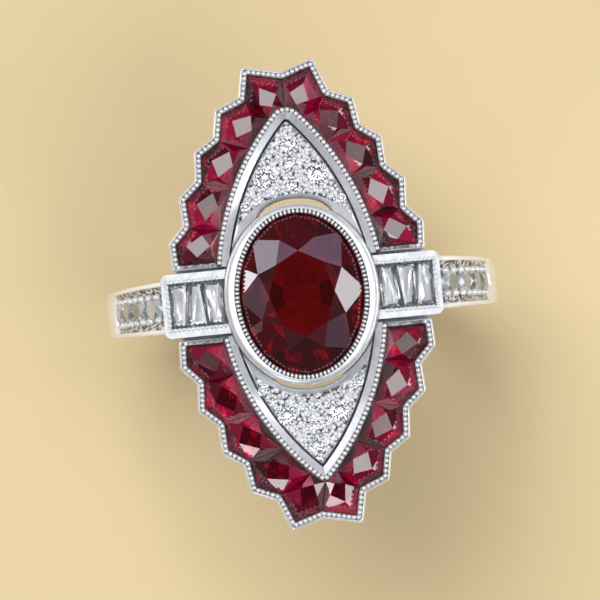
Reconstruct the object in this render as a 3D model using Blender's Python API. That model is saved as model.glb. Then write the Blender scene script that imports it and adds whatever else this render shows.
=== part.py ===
"""Navette cluster cocktail ring: white metal, oval ruby, calibre rubies and diamonds.

Metres, +Z up. The origin is the centre of the finger hole, whose axis is Y. The head stands on
top (+Z) with its long axis along Y; "back" is +Y, "front" is -Y, "right" is +X, "left" is -X.
"""
import math

import bmesh
import bpy
from mathutils import Matrix, Vector

MM = 0.001

# Finger and shank
FINGER_RADIUS = 8.45 * MM
SHANK_THICKNESS = 1.6 * MM
SHANK_HALF_WIDTH = 1.0 * MM
EQUATOR_HALF_WIDTH = 1.13 * MM
SHOULDER_HALF_WIDTH = 1.34 * MM
PARALLEL_SIDES_TOP_Z = -4.0 * MM
SHANK_RADIUS = FINGER_RADIUS + SHANK_THICKNESS
SHOULDER_TOP_Z = 10.0 * MM
SHANK_TIP_X = 3.0 * MM
RECESS_DEPTH = 0.25 * MM
RECESS_HALF_WIDTH = 0.95 * MM

# Clearance between pieces that touch on the bench
GAP = 0.03 * MM

# Gallery plate: how far it stays inside the rims, and its oval windows' half axes
GALLERY_INSET = 0.06 * MM
RUBY_WINDOW_HALF = (2.6 * MM, 3.5 * MM)
CRESCENT_WINDOW_HALF = (3.75 * MM, 4.45 * MM)

# Heights of the head
GALLERY_BOTTOM_Z = 8.8 * MM
GALLERY_TOP_Z = 9.3 * MM
HEAD_FLOOR_Z = GALLERY_TOP_Z + GAP
RIM_TOP_Z = 11.0 * MM
NAVETTE_TOP_Z = 11.7 * MM
PLATE_TOP_Z = 11.15 * MM
PLATE_THICKNESS = 0.55 * MM
BEZEL_TOP_Z = 12.8 * MM
BOX_INNER_TOP_Z = 11.75 * MM
BOX_OUTER_TOP_Z = 11.1 * MM

# Navette frames: radius of the legs' arcs, how far beyond the Y axis their centres lie, radius of
# the rounded tip, and how far the tip leans to the right
NAVETTES = {"back": (13.36 * MM, 9.145 * MM, 0.823 * MM, 0.0),
            "front": (12.78 * MM, 8.56 * MM, 0.35 * MM, 0.277 * MM)}
NAVETTE_FOOT_Y = 1.75 * MM
NAVETTE_EDGE = 0.28 * MM
NAVETTE_WALL = 0.62 * MM
LEAST_TIP_RADIUS = 0.05 * MM
LEAN_REACH = 9.29 * MM
LEAN_POWER = 2.2

# Centre stone and its oval bezel, half axes across and along the finger
RUBY_HALF = (3.15 * MM, 4.12 * MM)
RUBY_GIRDLE_Z = 12.38 * MM
RUBY_CROWN = 0.95 * MM
RUBY_PAVILION = 2.6 * MM
BEZEL_HALF = (3.88 * MM, 4.55 * MM)

# Pave plates: distance from the bezel, and the crescent left open between the two
PLATE_CLEARANCE = 0.05 * MM
CRESCENT_DEPTHS = {"back": 0.32 * MM, "front": 0.1 * MM}
CRESCENT_HALF_ANGLE = math.radians(30)
WINDOW_HALF_ANGLE = math.radians(26)
CORNER_SEARCH = (math.radians(20), math.radians(80))
CORNER_BLUNTING = math.radians(1.5)
CORNER_WIDTH = 0.1 * MM

# Scalloped outer rim: corners of a quarter, from the box round to the tip notch
RIM_WIDTH = 0.36 * MM
RIM_BEVEL = (0.14 * MM, 0.22 * MM)
PEAK_FILLET = 0.18 * MM
LEAST_PEAK_FILLET = 0.04 * MM
NOTCH_FILLET = 0.1 * MM
BOX_CORNER_FILLET = 0.12 * MM
END_RAIL_WIDTH = 0.25 * MM
RIM_FOOT = (4.13 * MM, 1.75 * MM)
RIM_BOX_CORNER = (6.36 * MM, 1.75 * MM)
RIM_PEAKS = [(6.44 * MM, 3.15 * MM), (5.74 * MM, 5.38 * MM), (4.74 * MM, 7.6 * MM),
             (3.5 * MM, 9.64 * MM)]
TIP_PEAKS = {("back", "right"): (1.63 * MM, 11.8 * MM), ("back", "left"): (2.0 * MM, 11.68 * MM),
             ("front", "right"): (1.98 * MM, 11.68 * MM), ("front", "left"): (1.6 * MM, 11.75 * MM)}
RIM_NOTCHES = [(5.65 * MM, 4.0 * MM), (4.83 * MM, 6.19 * MM), (3.73 * MM, 8.27 * MM),
               (2.28 * MM, 10.15 * MM)]
RIM_TIP_NOTCH = (0.0, 11.25 * MM)

# Calibre rubies: where the joints between them meet the navette frame
CALIBRE_FOOT_Y = [2.03 * MM, 3.62 * MM, 5.7 * MM, 7.55 * MM, 8.95 * MM]
CALIBRE_CLEARANCE = 0.075 * MM
CALIBRE_GIRDLE_Z = 10.55 * MM
CALIBRE_TABLE_Z = 10.95 * MM
CALIBRE_KEEL_Z = 9.6 * MM
CALIBRE_GIRDLE = 0.06 * MM
CALIBRE_TABLE_SHARE = 0.55
CALIBRE_CULET_SHARE = 0.5
CALIBRE_CULET_RISE = 0.35 * MM
WINDOW_RADIUS = 0.5 * MM

# Baguette boxes and their stones
BOX_END_X = 7.0 * MM
BOX_HALF_WIDTH = 1.6 * MM
BOX_CORNER_RADIUS = 0.35 * MM
BOX_START_X = 3.0 * MM
POCKET_START_X = 3.93 * MM
POCKET_END_X = 6.66 * MM
POCKET_HALF_WIDTH = 1.14 * MM
POCKET_DEPTH = 1.35 * MM
BAGUETTE_SINK = 0.12 * MM
BAGUETTE_GIRDLE = (-0.36 * MM, -0.3 * MM)
BAGUETTE_STEP = 0.16 * MM
BAGUETTE_TAPER = 0.12 * MM
BAGUETTE_START = 0.04 * MM
BAGUETTE_DEPTH = 1.2 * MM
BOX_SLOPE = math.atan2(BOX_INNER_TOP_Z - BOX_OUTER_TOP_Z, BOX_END_X - POCKET_START_X)

# Round diamonds
SHOULDER_STONE_RADIUS = 0.72 * MM
SHOULDER_STONE_PITCH = 1.5 * MM
SHOULDER_STONE_START = 0.87 * MM
SHOULDER_STONE_COUNT = 4
SEAT_CLEARANCE = 0.02 * MM
SEAT_DEPTH = 1.2 * MM
PLATE_STONES = [(0.0, 7.55 * MM, 0.42 * MM), (1.32 * MM, 5.95 * MM, 0.5 * MM),
                (-1.32 * MM, 5.95 * MM, 0.5 * MM), (0.0, 6.62 * MM, 0.28 * MM),
                (0.0, 5.5 * MM, 0.27 * MM), (2.4 * MM, 4.62 * MM, 0.27 * MM),
                (-2.4 * MM, 4.62 * MM, 0.27 * MM)]

# Cuts: table and waist as shares of the radius, girdle of the width, heights of the radius
BRILLIANT_TABLE = 0.54
BRILLIANT_WAIST = 0.79
GIRDLE_SHARE = 0.02
ROUND_CROWN = 0.32
ROUND_PAVILION = 0.84

METAL = ((0.82, 0.83, 0.86), 0.14, 1.0)
RUBY = ((0.30, 0.003, 0.02), 0.03, 0.0)
DIAMOND = ((0.86, 0.88, 0.9), 0.03, 0.0)
SIDES = (("right", 1), ("left", -1))
ENDS = (("back", 1), ("front", -1))


def clear_scene():
    for obj in list(bpy.data.objects):
        bpy.data.objects.remove(obj, do_unlink=True)


def new_collection(name):
    collection = bpy.data.collections.new(name)
    bpy.context.scene.collection.children.link(collection)
    return collection


def paint(obj, look):
    colour, roughness, metallic = look
    material = bpy.data.materials.new(obj.name + "_material")
    material.use_nodes = True
    shader = material.node_tree.nodes["Principled BSDF"]
    shader.inputs["Base Color"].default_value = (*colour, 1.0)
    shader.inputs["Roughness"].default_value = roughness
    shader.inputs["Metallic"].default_value = metallic
    obj.data.materials.clear()
    obj.data.materials.append(material)


def add_part(name, mesh, look):
    obj = bpy.data.objects.new(name, mesh)
    PARTS.objects.link(obj)
    paint(obj, look)
    return obj


def add_cutter(name, mesh):
    obj = bpy.data.objects.new(name, mesh)
    CUTTERS.objects.link(obj)
    obj.hide_render = True
    obj.display_type = "WIRE"
    return obj


def boolean(obj, cutter, operation="DIFFERENCE"):
    modifier = obj.modifiers.new(operation.lower() + "_" + cutter.name, "BOOLEAN")
    modifier.operation = operation
    modifier.object = cutter
    modifier.solver = "EXACT"


def smooth(obj, angle=35.0):
    obj.data.shade_smooth()
    obj.data.set_sharp_from_angle(angle=math.radians(angle))


def mesh_from(bm, name):
    bmesh.ops.recalc_face_normals(bm, faces=bm.faces)
    mesh = bpy.data.meshes.new(name)
    bm.to_mesh(mesh)
    bm.free()
    return mesh


def hull_mesh(name, points):
    """Closed convex solid of a stone, from its corner points."""
    bm = bmesh.new()
    for point in points:
        bm.verts.new(point)
    result = bmesh.ops.convex_hull(bm, input=bm.verts)
    spare = set(result["geom_interior"]) | set(result["geom_unused"])
    bmesh.ops.delete(bm, geom=[v for v in spare if isinstance(v, bmesh.types.BMVert)])
    bmesh.ops.dissolve_limit(bm, angle_limit=math.radians(0.5), verts=bm.verts, edges=bm.edges)
    return mesh_from(bm, name)


def loft_mesh(name, rings, closed_path):
    """Solid swept along a path: each ring runs the length of the path at one section corner."""
    bm = bmesh.new()
    rows = [[bm.verts.new(point) for point in ring] for ring in rings]
    length = len(rows[0])
    for row, following in zip(rows, rows[1:] + rows[:1]):
        for i in range(length if closed_path else length - 1):
            j = (i + 1) % length
            bm.faces.new((row[i], row[j], following[j], following[i]))
    if not closed_path:
        bm.faces.new([row[0] for row in rows])
        bm.faces.new([row[-1] for row in reversed(rows)])
    return mesh_from(bm, name)


def outline_mesh(name, loops, bottom, top):
    """Flat plate between two heights: the first loop is its edge, the others its openings."""
    curve = bpy.data.curves.new(name + "_outline", "CURVE")
    curve.dimensions = "2D"
    curve.fill_mode = "BOTH"
    curve.extrude = (top - bottom) / 2
    for loop in loops:
        spline = curve.splines.new("POLY")
        spline.points.add(len(loop) - 1)
        for point, (x, y) in zip(spline.points, loop):
            point.co = (x, y, 0.0, 1.0)
        spline.use_cyclic_u = True
    guide = bpy.data.objects.new(name + "_outline", curve)
    CUTTERS.objects.link(guide)
    bpy.context.view_layer.update()
    mesh = bpy.data.meshes.new_from_object(guide.evaluated_get(bpy.context.evaluated_depsgraph_get()))
    bpy.data.objects.remove(guide, do_unlink=True)
    bm = bmesh.new()
    bm.from_mesh(mesh)
    bmesh.ops.remove_doubles(bm, verts=bm.verts, dist=0.001 * MM)
    bmesh.ops.translate(bm, verts=bm.verts, vec=(0, 0, (top + bottom) / 2))
    bmesh.ops.recalc_face_normals(bm, faces=bm.faces)
    bm.to_mesh(mesh)
    bm.free()
    mesh.name = name
    mesh.materials.clear()
    return mesh


def ellipse(half_x, half_y, steps, z=None):
    points = []
    for i in range(steps):
        angle = 2 * math.pi * i / steps
        point = (half_x * math.cos(angle), half_y * math.sin(angle))
        points.append(point if z is None else (*point, z))
    return points


def circle_at(x, y, radius, steps):
    return [(x + px, y + py) for px, py in ellipse(radius, radius, steps)]


def spread(start, end, count):
    return [start + (end - start) * i / (count - 1) for i in range(count)]


def offset_corners(corners, distances):
    """Open path moved to its left by one distance for each edge, with mitred corners."""
    lines = []
    for (ax, ay), (bx, by), distance in zip(corners, corners[1:], distances):
        along = Vector((bx - ax, by - ay)).normalized()
        side = Vector((-along.y, along.x)) * distance
        lines.append((Vector((ax, ay)) + side, Vector((bx, by)) + side))
    moved = [lines[0][0]]
    for (a, b), (c, d) in zip(lines, lines[1:]):
        moved.append(line_crossing(a, b, c, d))
    moved.append(lines[-1][1])
    return moved


def line_crossing(a, b, c, d):
    ab, cd = b - a, d - c
    share = (c - a).cross(cd) / ab.cross(cd)
    return a + ab * share


def rounded_path(corners, radii, steps):
    """Open path whose inner corners become arcs of the given radii."""
    points = [Vector(corners[0])]
    for before, corner, after, radius in zip(corners, corners[1:], corners[2:], radii):
        incoming = (Vector(before) - Vector(corner)).normalized()
        outgoing = (Vector(after) - Vector(corner)).normalized()
        half = incoming.angle(outgoing) / 2
        bisector = (incoming + outgoing).normalized()
        centre = Vector(corner) + bisector * (radius / math.sin(half))
        start = Vector(corner) + incoming * (radius / math.tan(half)) - centre
        end = Vector(corner) + outgoing * (radius / math.tan(half)) - centre
        turn = start.angle_signed(end)
        for i in range(steps + 1):
            points.append(centre + Matrix.Rotation(-turn * i / steps, 2) @ start)
    points.append(Vector(corners[-1]))
    return points


def mirrored(points, side, end):
    return [(x * side, y * end, *rest) for x, y, *rest in points]


# ---------------------------------------------------------------- shank


def shoulder_point(share):
    """Point (x, z) on the right shoulder's outer line, from the box (0) to the equator (1)."""
    corners = [(BOX_END_X + GAP, SHOULDER_TOP_Z), (8.6 * MM, 8.6 * MM),
               (SHANK_RADIUS, 4.5 * MM), (SHANK_RADIUS, 0.0)]
    weights = [(1 - share) ** 3, 3 * share * (1 - share) ** 2, 3 * share ** 2 * (1 - share),
               share ** 3]
    return Vector((sum(w * c[0] for w, c in zip(weights, corners)),
                   sum(w * c[1] for w, c in zip(weights, corners))))


def shoulder_share(distance):
    """Share of the shoulder's line that lies this far along it from the box."""
    travelled, share, step = 0.0, 0.0, 0.002
    while travelled < distance:
        travelled += (shoulder_point(share + step) - shoulder_point(share)).length
        share += step
    return share


def shoulder_normal(share):
    along = shoulder_point(share + 0.01) - shoulder_point(share - 0.01)
    return Vector((-along.y, along.x)).normalized()


def shank_outline():
    right = [shoulder_point(share) for share in spread(0.0, 1.0, 15)]
    bottom = [Vector((SHANK_RADIUS * math.cos(a), SHANK_RADIUS * math.sin(a)))
              for a in spread(0.0, -math.pi, 29)][1:-1]
    left = [Vector((-p.x, p.y)) for p in reversed(right)]
    inner_start = math.acos(SHANK_TIP_X / FINGER_RADIUS)
    hole = [Vector((FINGER_RADIUS * math.cos(a), FINGER_RADIUS * math.sin(a)))
            for a in spread(math.pi - inner_start, 2 * math.pi + inner_start, 45)]
    seat_z = GALLERY_BOTTOM_Z - GAP
    step_x = RIM_BOX_CORNER[0] + GAP
    box_floor = HEAD_FLOOR_Z - GAP
    right_seat = [(SHANK_TIP_X, seat_z), (step_x, seat_z), (step_x, box_floor),
                  (BOX_END_X + GAP, box_floor)]
    left_seat = [(-x, z) for x, z in reversed(right_seat)]
    return [*right_seat, *right, *bottom, *left, *left_seat, *hole]


def width_outline():
    """Front view of the shank: parallel sides below, widening towards the head."""
    levels = [(-11.0 * MM, SHANK_HALF_WIDTH), (PARALLEL_SIDES_TOP_Z, SHANK_HALF_WIDTH),
              (1.0 * MM, EQUATOR_HALF_WIDTH), (SHOULDER_TOP_Z + 0.5 * MM, SHOULDER_HALF_WIDTH)]
    right = [(width, z) for z, width in levels]
    return right + [(-width, z) for width, z in reversed(right)]


def stand_up(mesh):
    """Turn a plate drawn in XY so that its outline lies in XZ."""
    mesh.transform(Matrix.Rotation(math.radians(90), 4, "X"))


def make_shank():
    mesh = outline_mesh("shank", [shank_outline()], -2 * MM, 2 * MM)
    stand_up(mesh)
    shank = add_part("shank", mesh, METAL)
    taper = outline_mesh("shank_taper", [width_outline()], -12 * MM, 12 * MM)
    stand_up(taper)
    taper.transform(Matrix.Rotation(math.radians(90), 4, "Z"))
    boolean(shank, add_cutter("shank_taper", taper), "INTERSECT")
    for side, sign in SIDES:
        shares = spread(0.0, shoulder_share(SHOULDER_STONE_START
                                            + SHOULDER_STONE_PITCH * (SHOULDER_STONE_COUNT - 0.4)), 9)
        outer = [shoulder_point(s) + shoulder_normal(s) * MM for s in shares]
        floor = [shoulder_point(s) - shoulder_normal(s) * RECESS_DEPTH for s in reversed(shares)]
        loop = [(p.x * sign, p.y) for p in outer + floor]
        slot = outline_mesh("recess_" + side, [loop], -RECESS_HALF_WIDTH, RECESS_HALF_WIDTH)
        stand_up(slot)
        boolean(shank, add_cutter("recess_" + side, slot))
        for number, frame in enumerate(shoulder_frames(sign), 1):
            bm = bmesh.new()
            radius = SHOULDER_STONE_RADIUS - SEAT_CLEARANCE
            bmesh.ops.create_cone(bm, cap_ends=True, segments=16, radius1=radius, radius2=radius,
                                  depth=SEAT_DEPTH, matrix=frame)
            hole = mesh_from(bm, "seat_%s_%d" % (side, number))
            boolean(shank, add_cutter(hole.name, hole))
    smooth(shank)


def shoulder_frames(sign):
    """Frames of the shoulder stones: origin on the recess floor, +Z out of the shoulder."""
    frames = []
    for i in range(SHOULDER_STONE_COUNT):
        share = shoulder_share(SHOULDER_STONE_START + SHOULDER_STONE_PITCH * i)
        normal = shoulder_normal(share)
        spot = shoulder_point(share) - normal * RECESS_DEPTH
        out = Vector((normal.x * sign, 0.0, normal.y))
        across = Vector((0.0, 1.0, 0.0))
        along = across.cross(out)
        turn = Matrix((along, across, out)).transposed().to_4x4()
        frames.append(Matrix.Translation((spot.x * sign, 0.0, spot.y)) @ turn)
    return frames


# ---------------------------------------------------------------- head metal


def rim_corners(inset, end):
    """Corners of a rim, right foot to left foot, moved inwards by the inset.

    Outlines of either end are drawn as if they lay at the back, with Y pointing to the tip.
    """
    halves = []
    for side, _ in SIDES:
        half = [RIM_FOOT, RIM_BOX_CORNER]
        for peak, notch in zip(RIM_PEAKS + [TIP_PEAKS[end, side]], RIM_NOTCHES + [RIM_TIP_NOTCH]):
            half += [peak, notch]
        halves.append(half)
    right, left = halves
    corners = right + [(-x, y) for x, y in reversed(left[:-1])]
    rail = inset * END_RAIL_WIDTH / RIM_WIDTH
    distances = [rail] + [inset] * (len(corners) - 3) + [rail]
    return offset_corners(corners, distances)


def rim_path(inset, end):
    corners = rim_corners(inset, end)
    peak_radius = max(PEAK_FILLET - inset * 0.4, LEAST_PEAK_FILLET)
    notch_radius = NOTCH_FILLET + inset * 0.5
    radii = [BOX_CORNER_FILLET] + [peak_radius, notch_radius] * 5
    radii = radii + radii[-2::-1]
    return rounded_path(corners, radii, 3)


def make_rims():
    across, down = RIM_BEVEL
    section = [(0.0, HEAD_FLOOR_Z), (0.0, RIM_TOP_Z - down), (across, RIM_TOP_Z),
               (RIM_WIDTH, RIM_TOP_Z), (RIM_WIDTH, HEAD_FLOOR_Z)]
    for end, sign in ENDS:
        rings = [[(p.x, p.y * sign, z) for p in rim_path(inset, end)] for inset, z in section]
        name = "outer_rim_" + end
        smooth(add_part(name, loft_mesh(name, rings, False), METAL))


def lean_at(end, y):
    """Sideways lean of a navette frame at this distance from the ring's middle."""
    return NAVETTES[end][3] * (y / LEAN_REACH) ** LEAN_POWER


def leg_x(end, side_sign, inset, y):
    """X of a navette leg, moved inwards by the inset, at this distance from the middle."""
    radius, offset, _, _ = NAVETTES[end]
    reach = math.sqrt((radius - inset) ** 2 - y ** 2) - offset
    return side_sign * reach + lean_at(end, y)


def navette_tip(end, inset):
    """Rounding radius of a navette tip, its centre's Y, and the angle where the legs end."""
    radius, offset, tip_radius, _ = NAVETTES[end]
    tip = max(tip_radius - inset, LEAST_TIP_RADIUS)
    angle = math.acos(offset / (radius - inset - tip))
    return tip, (radius - inset - tip) * math.sin(angle), angle


def navette_path(inset, end, foot_ys=(NAVETTE_FOOT_Y, NAVETTE_FOOT_Y), leg_steps=12, tip_steps=6):
    """Navette line, right foot over the tip to left foot, moved inwards by the inset."""
    leg_radius = NAVETTES[end][0] - inset
    tip, tip_y, tip_angle = navette_tip(end, inset)
    legs = []
    for side_sign, foot_y in zip((1, -1), foot_ys):
        leg = []
        for angle in spread(math.asin(foot_y / leg_radius), tip_angle, leg_steps):
            y = leg_radius * math.sin(angle)
            leg.append((leg_x(end, side_sign, inset, y), y))
        legs.append(leg)
    round_tip = []
    for angle in spread(tip_angle, math.pi - tip_angle, tip_steps + 1)[1:-1]:
        y = tip_y + tip * math.sin(angle)
        round_tip.append((tip * math.cos(angle) + lean_at(end, y), y))
    return legs[0] + round_tip + legs[1][::-1]


def bezel_clearance():
    mesh = outline_mesh("bezel_clearance", [ellipse(BEZEL_HALF[0] + GAP, BEZEL_HALF[1] + GAP, 96)],
                        8 * MM, 14 * MM)
    return add_cutter("bezel_clearance", mesh)


def make_navette_frames(clearance):
    section = [(0.0, HEAD_FLOOR_Z), (0.0, NAVETTE_TOP_Z - 0.05 * MM), (0.05 * MM, NAVETTE_TOP_Z),
               (NAVETTE_EDGE, NAVETTE_TOP_Z), (NAVETTE_WALL, PLATE_TOP_Z),
               (NAVETTE_WALL, HEAD_FLOOR_Z)]
    for end, sign in ENDS:
        rings = [[(x, y * sign, z) for x, y in navette_path(inset, end)] for inset, z in section]
        name = "navette_frame_" + end
        frame = add_part(name, loft_mesh(name, rings, False), METAL)
        boolean(frame, clearance)
        smooth(frame)


def plate_arc_point(end, angle):
    """Point of a plate's edge towards the bezel: a crescent gap in the middle, then close by."""
    turn = min(1.0, abs(angle - math.pi / 2) / CRESCENT_HALF_ANGLE)
    gap = PLATE_CLEARANCE + CRESCENT_DEPTHS[end] * (1 - turn ** 4)
    return Vector(((BEZEL_HALF[0] + gap) * math.cos(angle), (BEZEL_HALF[1] + gap) * math.sin(angle)))


def plate_corner_angle(end, side_sign, inset):
    """Angle at which a plate's inner edge stops, just short of the navette leg."""
    low, high = CORNER_SEARCH
    for _ in range(30):
        middle = (low + high) / 2
        point = plate_arc_point(end, middle)
        if leg_x(end, side_sign, inset, point.y) * side_sign > point.x:
            high = middle
        else:
            low = middle
    return high + CORNER_BLUNTING


def plate_outline(end):
    """Pave plate: inside the navette legs, hollowed by its edge towards the bezel."""
    inset = NAVETTE_WALL + GAP
    right, left = (plate_corner_angle(end, side_sign, inset) for side_sign in (1, -1))
    foot_ys = [plate_arc_point(end, angle).y + CORNER_WIDTH for angle in (right, left)]
    legs = navette_path(inset, end, foot_ys)
    arc = [plate_arc_point(end, angle) for angle in spread(math.pi - left, right, 31)]
    return legs + [(p.x, p.y) for p in arc]


def make_pave_plates():
    for end, sign in ENDS:
        loops = [mirrored(plate_outline(end), 1, sign)]
        for x, y, radius in PLATE_STONES:
            loops.append(circle_at(x, y * sign, radius - SEAT_CLEARANCE, 12))
        name = "pave_plate_" + end
        mesh = outline_mesh(name, loops, PLATE_TOP_Z - PLATE_THICKNESS, PLATE_TOP_Z)
        smooth(add_part(name, mesh, METAL))


def make_bezel():
    half_x, half_y = BEZEL_HALF
    section = [(-0.18, -0.15, HEAD_FLOOR_Z), (0.0, 0.0, 12.15 * MM), (-0.1, -0.07, 12.42 * MM),
               (-0.46, -0.25, 12.74 * MM), (-0.55, -0.31, BEZEL_TOP_Z),
               (-0.7, -0.42, 12.75 * MM), (-0.79, -0.51, 12.48 * MM), (-0.68, -0.38, 12.42 * MM),
               (-0.68, -0.38, 12.18 * MM), (-1.0, -0.7, 11.83 * MM), (-1.15, -0.9, HEAD_FLOOR_Z)]
    rings = [ellipse(half_x + dx * MM, half_y + dy * MM, 64, z) for dx, dy, z in section]
    smooth(add_part("centre_bezel", loft_mesh("centre_bezel", rings, True), METAL))


def calibre_centre(outline):
    return sum(outline, Vector((0.0, 0.0))) / len(outline)


def make_gallery():
    back, front = ([(p.x, p.y * sign) for p in rim_path(GALLERY_INSET, end)][1:-1]
                   for end, sign in ENDS)
    loops = [back + front[::-1], ellipse(*RUBY_WINDOW_HALF, 32)]
    half_x, half_y = CRESCENT_WINDOW_HALF
    quarter = math.pi / 2
    for end, sign in ENDS:
        angles = spread(quarter - WINDOW_HALF_ANGLE, quarter + WINDOW_HALF_ANGLE, 9)
        outer = [(p.x, p.y) for p in (plate_arc_point(end, a) for a in angles)]
        inner = [(half_x * math.cos(a), half_y * math.sin(a)) for a in reversed(angles)]
        loops.append(mirrored(outer + inner, 1, sign))
        for side, side_sign in SIDES:
            for centre in map(calibre_centre, calibre_outlines(end, side)):
                loops.append(circle_at(centre.x * side_sign, centre.y * sign, WINDOW_RADIUS, 12))
    mesh = outline_mesh("gallery_plate", loops, GALLERY_BOTTOM_Z, GALLERY_TOP_Z)
    smooth(add_part("gallery_plate", mesh, METAL))


# ---------------------------------------------------------------- baguette boxes


def box_frame(sign):
    """Frame of one box's top: origin above the inner end of the pocket, +X outwards."""
    tilt = Matrix.Rotation(BOX_SLOPE, 4, "Y")
    place = Matrix.Translation((POCKET_START_X, 0.0, BOX_INNER_TOP_Z))
    turn = Matrix.Identity(4) if sign > 0 else Matrix.Rotation(math.pi, 4, "Z")
    return turn @ place @ tilt


def block(name, low, high, frame):
    bm = bmesh.new()
    size = Vector(high) - Vector(low)
    centre = (Vector(high) + Vector(low)) / 2
    shape = frame @ Matrix.Translation(centre) @ Matrix.Diagonal((*size, 1.0))
    bmesh.ops.create_cube(bm, size=1.0, matrix=shape)
    return mesh_from(bm, name)


def box_outline(sign):
    corners = [(BOX_START_X, -BOX_HALF_WIDTH), (BOX_END_X, -BOX_HALF_WIDTH),
               (BOX_END_X, BOX_HALF_WIDTH), (BOX_START_X, BOX_HALF_WIDTH)]
    path = rounded_path(corners, [BOX_CORNER_RADIUS, BOX_CORNER_RADIUS], 5)
    return [(p.x * sign, p.y) for p in path]


def make_boxes(clearance):
    pocket_length = (POCKET_END_X - POCKET_START_X) / math.cos(BOX_SLOPE)
    for side, sign in SIDES:
        name = "baguette_box_" + side
        mesh = outline_mesh(name, [box_outline(sign)], HEAD_FLOOR_Z, 12.5 * MM)
        box = add_part(name, mesh, METAL)
        frame = box_frame(sign)
        roof = block("roof_" + side, (-3 * MM, -3 * MM, 0.0), (6 * MM, 3 * MM, 3 * MM), frame)
        pocket = block("pocket_" + side, (-2 * MM, -POCKET_HALF_WIDTH, -POCKET_DEPTH),
                       (pocket_length, POCKET_HALF_WIDTH, MM), frame)
        boolean(box, clearance)
        boolean(box, add_cutter("roof_" + side, roof))
        boolean(box, add_cutter("pocket_" + side, pocket))
        smooth(box)


def make_baguettes():
    """Three tapered step-cut stones to a box; the middle one tapers the other way."""
    length = (POCKET_END_X - POCKET_START_X) / math.cos(BOX_SLOPE) - 2 * GAP
    half = POCKET_HALF_WIDTH - GAP
    taper, step = BAGUETTE_TAPER, BAGUETTE_STEP
    joints = [GAP + BAGUETTE_START + length * i / 3 for i in range(4)]
    for side, sign in SIDES:
        for number in range(3):
            lean_in = 0.0 if number == 0 else taper * (1 if number == 1 else -1)
            lean_out = 0.0 if number == 2 else taper * (1 if number == 0 else -1)
            inner, outer = joints[number] + GAP / 2, joints[number + 1] - GAP / 2
            edge = [(inner + lean_in, -half), (outer + lean_out, -half),
                    (outer - lean_out, half), (inner - lean_in, half)]
            middle = (inner + outer) / 2
            points = [(x, y, z) for x, y in edge for z in BAGUETTE_GIRDLE]
            for x, y in edge:
                reach = x - step if x > middle else x + step
                across = y - step if y > 0 else y + step
                points.append((reach, across, -BAGUETTE_SINK))
            points += [(middle, -half / 2, -BAGUETTE_DEPTH), (middle, half / 2, -BAGUETTE_DEPTH)]
            name = "baguette_diamond_%s_%d" % (side, number + 1)
            stone = add_part(name, hull_mesh(name, points), DIAMOND)
            stone.matrix_world = box_frame(sign)


# ---------------------------------------------------------------- stones


def brilliant_points(half_x, half_y, crown, pavilion, sides=8):
    """Corner points of a brilliant, girdle at z = 0, table up."""
    table, waist = BRILLIANT_TABLE, BRILLIANT_WAIST
    girdle = GIRDLE_SHARE * (half_x + half_y)
    slope = crown / (1 - table)
    points = [(0.0, 0.0, -pavilion)]
    for i in range(2 * sides):
        angle = math.pi * i / sides
        c, s = math.cos(angle), math.sin(angle)
        points += [(half_x * c, half_y * s, 0.0), (half_x * c, half_y * s, -girdle)]
        if i % 2:
            height = slope * (1 - waist * math.cos(math.pi / sides))
            points.append((half_x * waist * c, half_y * waist * s, height))
        else:
            points.append((half_x * table * c, half_y * table * s, crown))
    return points


def make_centre_ruby():
    points = brilliant_points(*RUBY_HALF, RUBY_CROWN, RUBY_PAVILION)
    ruby = add_part("centre_ruby", hull_mesh("centre_ruby", points), RUBY)
    ruby.location = (0.0, 0.0, RUBY_GIRDLE_Z)


def make_round_diamond(name, radius, frame):
    points = brilliant_points(radius, radius, radius * ROUND_CROWN, radius * ROUND_PAVILION)
    stone = add_part(name, hull_mesh(name, points), DIAMOND)
    lift = radius * 0.04 + GAP
    stone.matrix_world = frame @ Matrix.Translation((0.0, 0.0, lift))


def make_round_diamonds():
    for side, sign in SIDES:
        for number, frame in enumerate(shoulder_frames(sign), 1):
            make_round_diamond("shoulder_diamond_%s_%d" % (side, number),
                               SHOULDER_STONE_RADIUS, frame)
    for end, sign in ENDS:
        for number, (x, y, radius) in enumerate(PLATE_STONES, 1):
            make_round_diamond("plate_diamond_%s_%d" % (end, number), radius,
                               Matrix.Translation((x, y * sign, PLATE_TOP_Z)))


def calibre_outlines(end, side):
    """Plan outlines of a row from the box (5) to the tip (1), drawn for the right back."""
    side_sign = dict(SIDES)[side]
    inner = rim_corners(RIM_WIDTH + GAP, end)
    if side == "left":
        inner = [Vector((-p.x, p.y)) for p in reversed(inner)]
    feet = []
    for y in CALIBRE_FOOT_Y:
        feet.append(Vector((side_sign * leg_x(end, side_sign, -CALIBRE_CLEARANCE, y), y)))
    tip, tip_y, _ = navette_tip(end, -CALIBRE_CLEARANCE)
    apex_x = GAP / 2 + side_sign * lean_at(end, tip_y + tip)
    feet.append(Vector((apex_x, tip_y + tip)))
    notches = [inner[1], *inner[3:13:2]]
    peaks = inner[2:12:2]
    notches[-1] = Vector((GAP / 2, notches[-1].y))
    return [[feet[i], notches[i], peaks[i], notches[i + 1], feet[i + 1]] for i in range(5)]


def shrink(outline, distance):
    """Closed counter-clockwise outline moved inwards."""
    corners = [outline[-1], *outline, outline[0]]
    return offset_corners(corners, [distance] * (len(corners) - 1))[1:-1]


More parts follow.
